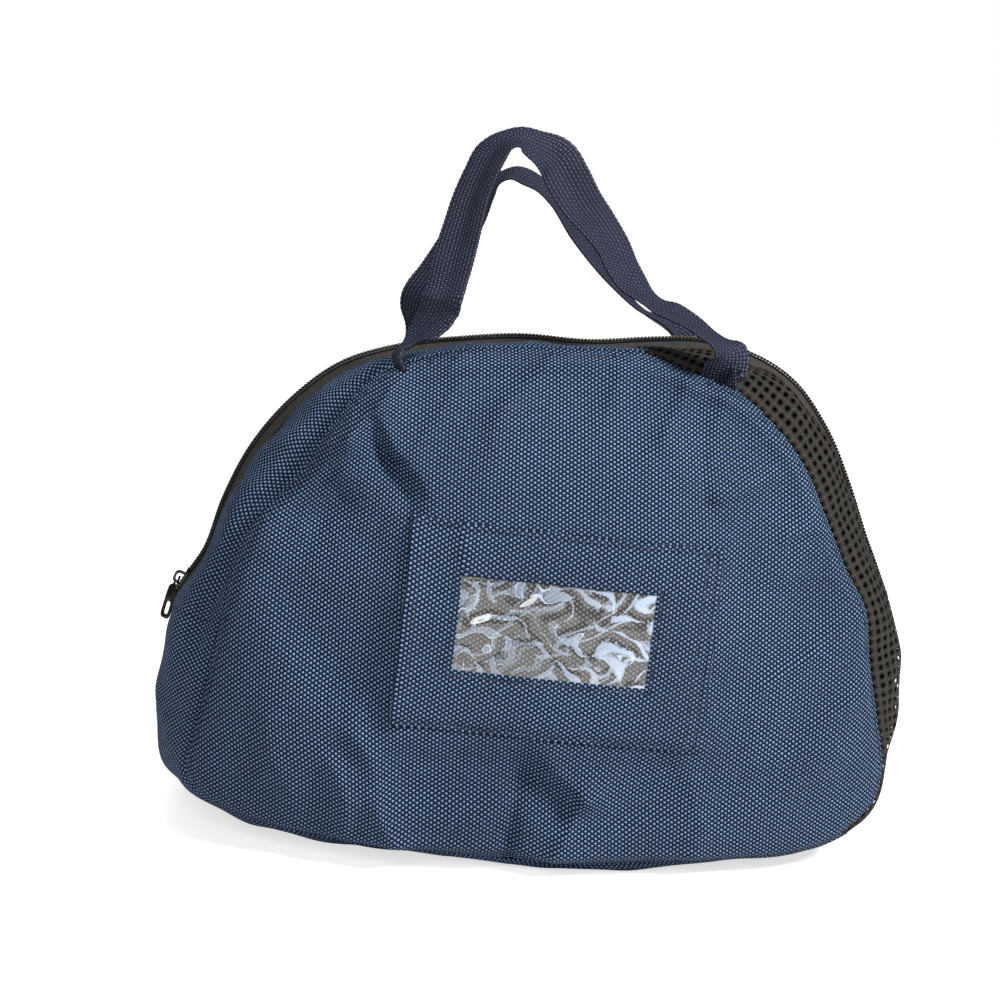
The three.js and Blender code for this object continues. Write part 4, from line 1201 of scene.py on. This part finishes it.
# Strap: a flat oval carried along a smooth line through its rows, turned to each row's own direction,
# with a soft crease along its middle. It is pinched near its left root, where it gets thicker. The last
# part of each end goes into the seam.
def makeStrap(name, handle, node):
    rows, side = handle["rows"], handle["side"]
    yaw, pitch = np.radians(rows[:, 3]), np.radians(rows[:, 4])
    centres = stack(rows[:, 0] * body["width"], rows[:, 1] * body["depth"] / 2,
                    body["height"] + rows[:, 2] * handle["rise"])
    widths = stack(np.cos(pitch) * np.cos(yaw), np.cos(pitch) * np.sin(yaw), np.sin(pitch))
    ends = []
    left = place["handleLeft"] + handle["leftShift"]
    for t, turned, tilt in ((left, handle["leftTurn"], handle["leftTilt"]),
                            (place["handleRight"], handle["rightTurn"], 0.0)):
        out = seamOut(t, side)
        tangent = unit(seamPoint(t + 0.01, side) - seamPoint(t - 0.01, side)) * turned
        tangent = unit(tangent * math.cos(tilt) + np.array([0, math.sin(tilt), 0]))
        point = seamPoint(t, side)
        ends.append((np.stack([point - out * strap["rootSink"], point + out * strap["rootRise"]]), tangent))
    centres = np.vstack([ends[0][0], centres, ends[1][0][::-1]])
    widths = np.vstack([ends[0][1], ends[0][1], widths, ends[1][1], ends[1][1]])
    knots = np.append(0, np.cumsum(np.linalg.norm(np.diff(centres, axis=0), axis=1)))
    length = np.linspace(0, knots[-1], int(knots[-1] / strap["step"]))
    centre = hermite(knots, centres, length)
    width = unit(hermite(knots, widths, length))
    forward = unit(np.gradient(centre, axis=0))
    width = unit(width - forward * np.sum(width * forward, axis=1, keepdims=True))
    normal = np.cross(width, forward)
    angle = np.linspace(0, 2 * np.pi, strap["across"] * 2, endpoint=False)
    flatX = np.sign(np.cos(angle)) * np.abs(np.cos(angle))**0.85
    flatY = np.sign(np.sin(angle)) * np.abs(np.sin(angle))**0.35
    scallop = strap["scallop"] * np.abs(np.sin(np.pi * length / webbingLook["up"] / 2))[:, None]
    share = np.interp(length, strap["pinchAt"], strap["pinch"])
    share = np.convolve(np.pad(share, 3, mode="edge"), np.ones(7) / 7, mode="valid")[:, None]
    halfWidth = strap["width"] / 2 * share + scallop * np.abs(flatX)
    fromEnds = (np.sin(np.pi * length / knots[-1])**0.5)[:, None]
    crease = handle["crease"] * np.exp(-(flatX / 0.4)**2) * fromEnds
    thick = strap["thickness"] / 2 * (1 + strap["bunch"] * (1 - share))
    points = (centre[:, None] + width[:, None] * (halfWidth * flatX)[..., None]
              + normal[:, None] * (crease + thick * flatY)[..., None])
    uv = stack(np.broadcast_to(flatX * strap["width"] / 2, halfWidth.shape), length[:, None])
    piece = finishPiece(tubeMesh(name, points, uv), webbingMaterial, replaces=(node,))
    return piece


# A closed ring carried along a line, with both ends shut by a fan to their middle.
def tubeMesh(name, points, uv):
    rows, cols = points.shape[:2]
    index = np.arange(rows * cols).reshape(rows, cols)
    index = np.hstack([index, index[:, :1]])
    faces = quadFaces(index)
    middles = rows * cols + np.arange(2)
    ring = index[0]
    start = np.stack([np.full(cols, middles[0]), ring[:-1], ring[1:], ring[1:]], axis=-1)
    ring = index[-1]
    end = np.stack([np.full(cols, middles[1]), ring[1:], ring[:-1], ring[:-1]], axis=-1)
    allPoints = np.vstack([points.reshape(-1, 3), points[0].mean(axis=0), points[-1].mean(axis=0)])
    allUv = np.vstack([uv.reshape(-1, 2), uv[0].mean(axis=0), uv[-1].mean(axis=0)])
    quads = solidMesh(name, allPoints, faces, allUv)
    caps = np.vstack([start, end])[:, :3]
    other = solidMesh(name + "Caps", allPoints, caps, allUv)
    return joinPieces(name, [quads, other])


# Several pieces made one mesh, doubles merged, faces turned outward.
def joinPieces(name, pieces):
    whole = bmesh.new()
    for piece in pieces:
        whole.from_mesh(piece.data)
    bmesh.ops.remove_doubles(whole, verts=whole.verts, dist=1e-7)
    bmesh.ops.recalc_face_normals(whole, faces=whole.faces)
    mesh = bpy.data.meshes.new(name)
    whole.to_mesh(mesh)
    whole.free()
    mesh.polygons.foreach_set("use_smooth", np.full(len(mesh.polygons), True))
    for piece in pieces:
        bpy.data.objects.remove(piece)
    joined = bpy.data.objects.new(name, mesh)
    bpy.context.scene.collection.objects.link(joined)
    return joined


makeTab()
makeStrap("strapFront", frontHandle, "handle_front")
makeStrap("strapBack", backHandle, "handle_back")
print("handles made")


# Point over the front panel at (u, v) of the pocket, lifted off along the panel's normal.
def pocketPoint(u, v, lift):
    turn = math.radians(pocket["turn"])
    x = pocket["x"] + u * math.cos(turn) - v * math.sin(turn)
    z = pocket["z"] + u * math.sin(turn) + v * math.cos(turn)
    points, normal = onPanelAt(x, z, -1)
    gape = pocket["slot"] * np.exp(-((u + pocket["width"] / 2) / (pocket["width"] * 0.045))**2)
    return points + normal * (lift + gape)[..., None], normal


# Even steps between breaks, so that the grid has lines on each break.
def brokenSteps(breaks, step):
    parts = [np.linspace(a, b, max(2, int(round((b - a) / step)) + 1))[:-1]
             for a, b in zip(breaks, breaks[1:])]
    return np.append(np.concatenate(parts), breaks[-1])


def makePocket():
    w, h = pocket["width"] / 2, pocket["height"] / 2
    left, right = (pocket["windowX"] + s * pocket["windowWidth"] / 2 for s in (-1, 1))
    low, high = (pocket["windowZ"] + s * pocket["windowHeight"] / 2 for s in (-1, 1))
    us = brokenSteps([-w, left, right, w], pocket["step"])
    vs = brokenSteps([-h, low, high, h], pocket["step"])
    u, v = np.meshgrid(us, vs)
    edge = np.minimum(np.minimum(w - u, h - np.abs(v)), 1)
    toWindow = np.maximum(np.maximum(left - u, u - right), np.maximum(low - v, v - high))
    puff = pocket["puff"] * (1 - np.exp(-(edge / 0.006)**2)) + 0.0004 * np.exp(-(toWindow / 0.0012)**2)
    lift = pocket["lift"] + puff - 0.0007 * np.exp(-((edge - 0.0024) / 0.0009)**2)
    lift = lift + pocket["wall"] * (1 - np.exp(-(edge / 0.005)**2)) * 0.6
    points, _ = pocketPoint(u, v, lift)
    middleU, middleV = np.meshgrid((us[1:] + us[:-1]) / 2, (vs[1:] + vs[:-1]) / 2)
    keep = ~((middleU > left) & (middleU < right) & (middleV > low) & (middleV < high))
    piece = gridMesh("pocketCloth", points, stack(u, v), keep)
    return finishPiece(piece, clothMaterial, thickness=pocket["wall"], replaces=("card_pocket",))


# Window film: slow waves bend the plane. A painted reflection lies where a bent wave is near its middle, a
# pale patch
# with a brighter line along its rim: 0.85 exp(-((|wave| - width) / 0.05)^2).
def makeWindow():
    w, h = pocket["windowWidth"] / 2 + 0.002, pocket["windowHeight"] / 2 + 0.002
    us = np.linspace(-w, w, 300) + pocket["windowX"]
    vs = np.linspace(-h, h, 150) + pocket["windowZ"]
    u, v = np.meshgrid(us, vs)
    bentU = u + 0.0050 * np.sin(v * 190 + 1.9 * np.sin(u * 105 + 0.7)) + 0.0017 * np.sin(v * 430 + u * 190)
    bentV = v + 0.0048 * np.sin(u * 135 + 1.6 * np.sin(v * 200 + 1.3))
    bentV = bentV + 0.0015 * np.sin(u * 450 - v * 260 + 2)
    first = np.sin(bentU * 190 + bentV * 250 + 0.4)
    second = np.sin(bentV * 330 - bentU * 170 + 1.9)
    third = np.sin(bentU * 360 - bentV * 250 + 0.8)
    level = np.zeros_like(u)
    for wave, width, amount in ((first, 0.30 + 0.28 * second, 1.0), (second, 0.22 + 0.26 * third, 0.85),
                                (third, 0.16 + 0.20 * first, 0.7)):
        # Painted reflection, stronger towards the right of the window, the side of the key light.
        inside = np.clip((width - np.abs(wave)) / 0.12, 0, 1) * (0.42 + 0.30 * np.clip(u / w + 0.2, 0, 1))
        rim = 0.85 * np.exp(-((np.abs(wave) - width) / 0.05)**2) * (width > 0.04)
        level = np.maximum(level, amount * np.maximum(inside, rim))
    edge = np.minimum(w - np.abs(u - pocket["windowX"]), h - np.abs(v - pocket["windowZ"]))
    calm = 1 - np.exp(-(edge / 0.004)**2)
    crinkle = calm * (0.00042 * first + 0.00030 * second * (0.6 + 0.4 * first) + 0.00007 * third)
    points, _ = pocketPoint(u, v, pocket["lift"] + 0.0010 + crinkle)
    piece = gridMesh("windowFilm", points, stack(u, v))
    # The crease attribute carries the painted reflection's strength to the film's material.
    crease = piece.data.attributes.new("crease", "FLOAT", "POINT")
    crease.data.foreach_set("value", np.clip(level, 0, 1).ravel().astype(np.float32))
    return finishPiece(piece, filmMaterial, thickness=0.0003, replaces=("card_window",))


makePocket()
makeWindow()
print("pocket made")

stitch = {
    "pitch": 0.0028,
    "length": 0.0021,
    "radius": 0.00034,
}


# Rows of stitches: short capsules laid end to end along lines, each line with its outward directions.
def makeStitches(name, rows):
    form, faces = capsule(stitch["length"], stitch["radius"], flat=0.8, along=4)
    places, xs, zs = [], [], []
    for line, outs in rows:
        points, along = resample(line, stitch["pitch"])
        lengths = np.append(0, np.cumsum(np.linalg.norm(np.diff(line, axis=0), axis=1)))
        marks = np.linspace(0, lengths[-1], len(points))
        out = unit(np.stack([np.interp(marks, lengths, outs[:, k]) for k in range(3)], axis=1))
        places.append(points)
        xs.append(along)
        zs.append(unit(out - along * np.sum(out * along, axis=1, keepdims=True)))
    xs, zs = np.vstack(xs), np.vstack(zs)
    piece = repeatedMesh(name, form, faces, np.vstack(places), xs, np.cross(zs, xs), zs)
    return finishPiece(piece, threadMaterial)


def pocketRow(u, v, lift=0.0):
    u, v = np.broadcast_arrays(u, v)
    return pocketPoint(u, v, pocket["lift"] + lift + 0.0003)


def makePocketStitches():
    w, h = pocket["width"] / 2, pocket["height"] / 2
    wide, tall = np.linspace(-w + 0.001, w - 0.002, 80), np.linspace(-h + 0.002, h - 0.002, 60)
    rows = [pocketRow(wide, h - 0.0022), pocketRow(wide, -h + 0.0022), pocketRow(w - 0.0022, tall),
            pocketRow(w - 0.0072, tall, 0.0008), pocketRow(-w + 0.0050, tall[8:-8], 0.0010)]
    left, right = (pocket["windowX"] + s * (pocket["windowWidth"] / 2 + 0.0022) for s in (-1, 1))
    low, high = (pocket["windowZ"] + s * (pocket["windowHeight"] / 2 + 0.0022) for s in (-1, 1))
    frameU, frameV = np.linspace(left, right, 60), np.linspace(low, high, 40)
    rows += [pocketRow(frameU, high, 0.0012), pocketRow(frameU, low, 0.0012),
             pocketRow(left, frameV, 0.0012), pocketRow(right, frameV, 0.0012)]
    makeStitches("pocketStitches", rows)


# Row of stitches on a panel, a little inside its seam, from one place to another.
def panelRow(start, end, inset, side):
    t = np.linspace(start, end, 300)
    rim = seamPoint(t, side)
    rise = rim[:, 2] - body["centreHeight"]
    share = 1 - inset / np.hypot(rim[:, 0], rise)
    x = rim[:, 0] * share
    z = body["centreHeight"] + rise * share
    points, normal = onPanelAt(x, z, side)
    return points + normal * 0.0001, normal


makePocketStitches()
makeStitches("seamStitches", [panelRow(0, 1, 0.0032, -1), panelRow(0, 1, 0.0032, 1)])
print("stitches made")

stage = {
    "size": 80.0,
    "floor": (0.86, 0.86, 0.86),
    "background": 1.0,
    "ambient": 0.13,
    "nearGlow": 0.68,
    "farGlow": 1.0,
}


# Pale floor, with a glow that only the camera sees and that grows away from the bag.
def makeFloor():
    half = stage["size"] / 2
    points = np.array([(-half, -half, 0), (half, -half, 0), (half, half, 0), (-half, half, 0)], float)
    floor = solidMesh("floor", points - [0, 0, 0.0002], np.array([[0, 1, 2, 3]]), smooth=False)
    material, tree, shader = newMaterial("paleFloor")
    coords = addObjectCoords(tree)
    noise = addNoise(tree, coords, 4, 2).outputs["Fac"]
    tree.links.new(addMix(tree, noise, stage["floor"], tuple(c * 0.98 for c in stage["floor"])),
                   shader.inputs["Base Color"])
    shader.inputs["Roughness"].default_value = 0.9
    far = tree.nodes.new("ShaderNodeVectorMath")
    far.operation = "LENGTH"
    tree.links.new(coords, far.inputs[0])
    spread = addRange(tree, far.outputs["Value"], 0.25, 1.6)
    glow = addMath(tree, "ADD", addMath(tree, "MULTIPLY", spread, stage["farGlow"] - stage["nearGlow"]),
                   stage["nearGlow"])
    seen = tree.nodes.new("ShaderNodeLightPath").outputs["Is Camera Ray"]
    shader.inputs["Emission Color"].default_value = (1, 1, 1, 1)
    tree.links.new(addMath(tree, "MULTIPLY", glow, seen), shader.inputs["Emission Strength"])
    floor.data.materials.append(material)


# White sky for the camera, a dimmer one for the light.
def makeSky():
    world = bpy.data.worlds.new("softSky")
    bpy.context.scene.world = world
    world.use_nodes = True
    tree = world.node_tree
    background = tree.nodes["Background"]
    background.inputs["Color"].default_value = (1, 1, 1, 1)
    seen = tree.nodes.new("ShaderNodeLightPath").outputs["Is Camera Ray"]
    strength = addMath(tree, "ADD", addMath(tree, "MULTIPLY", seen, stage["background"] - stage["ambient"]),
                       stage["ambient"])
    tree.links.new(strength, background.inputs["Strength"])


def makeLight(name, spot, target, size, power, color=(1, 1, 1)):
    light = bpy.data.lights.new(name, "AREA")
    light.shape = "DISK"
    light.size = size
    light.energy = power
    light.color = color
    lamp = bpy.data.objects.new(name, light)
    direction = Vector(target) - Vector(spot)
    lamp.matrix_world = Matrix.Translation(spot) @ direction.to_track_quat("-Z", "Y").to_matrix().to_4x4()
    bpy.context.scene.collection.objects.link(lamp)


# Camera: 1 m from its aim, 12 degrees up, 5 degrees from the left, rolled 3.5 degrees.
view = {
    "aim": (-0.0037, 0, 0.105),
    "distance": 1.0,
    "elevation": 12.0,
    "azimuth": -5.0,
    "roll": 3.5,
    "lens": 75.6,
    "shiftX": -0.03,
    "shiftY": 0.1,
}


def makeCamera():
    camera = bpy.data.cameras.new("camera")
    camera.sensor_width = 36
    camera.lens = view["lens"]
    camera.shift_x, camera.shift_y = view["shiftX"], view["shiftY"]
    eye = bpy.data.objects.new("camera", camera)
    e, a, roll = (math.radians(view[key]) for key in ("elevation", "azimuth", "roll"))
    back = Vector((math.sin(a) * math.cos(e), -math.cos(a) * math.cos(e), math.sin(e)))
    right = (-back).cross(Vector((0, 0, 1))).normalized()
    up = right.cross(-back)
    turnedRight = right * math.cos(roll) + up * math.sin(roll)
    turnedUp = up * math.cos(roll) - right * math.sin(roll)
    turn = Matrix((turnedRight, turnedUp, back)).transposed().to_4x4()
    eye.matrix_world = Matrix.Translation(Vector(view["aim"]) + back * view["distance"]) @ turn
    bpy.context.scene.collection.objects.link(eye)
    bpy.context.scene.camera = eye


makeFloor()
makeSky()
makeLight("key", (1.05, -0.85, 1.2), (0, 0, 0.12), 0.40, 34, (1.0, 0.99, 0.97))
makeLight("top", (-0.3, 0.1, 1.8), (0, 0, 0.12), 0.9, 9, (0.95, 0.98, 1.0))
makeLight("front", (-0.45, -1.5, 1.0), (0, 0, 0.1), 0.8, 11)
makeCamera()
bpy.context.scene.view_settings.view_transform = "Standard"
print("stage made")
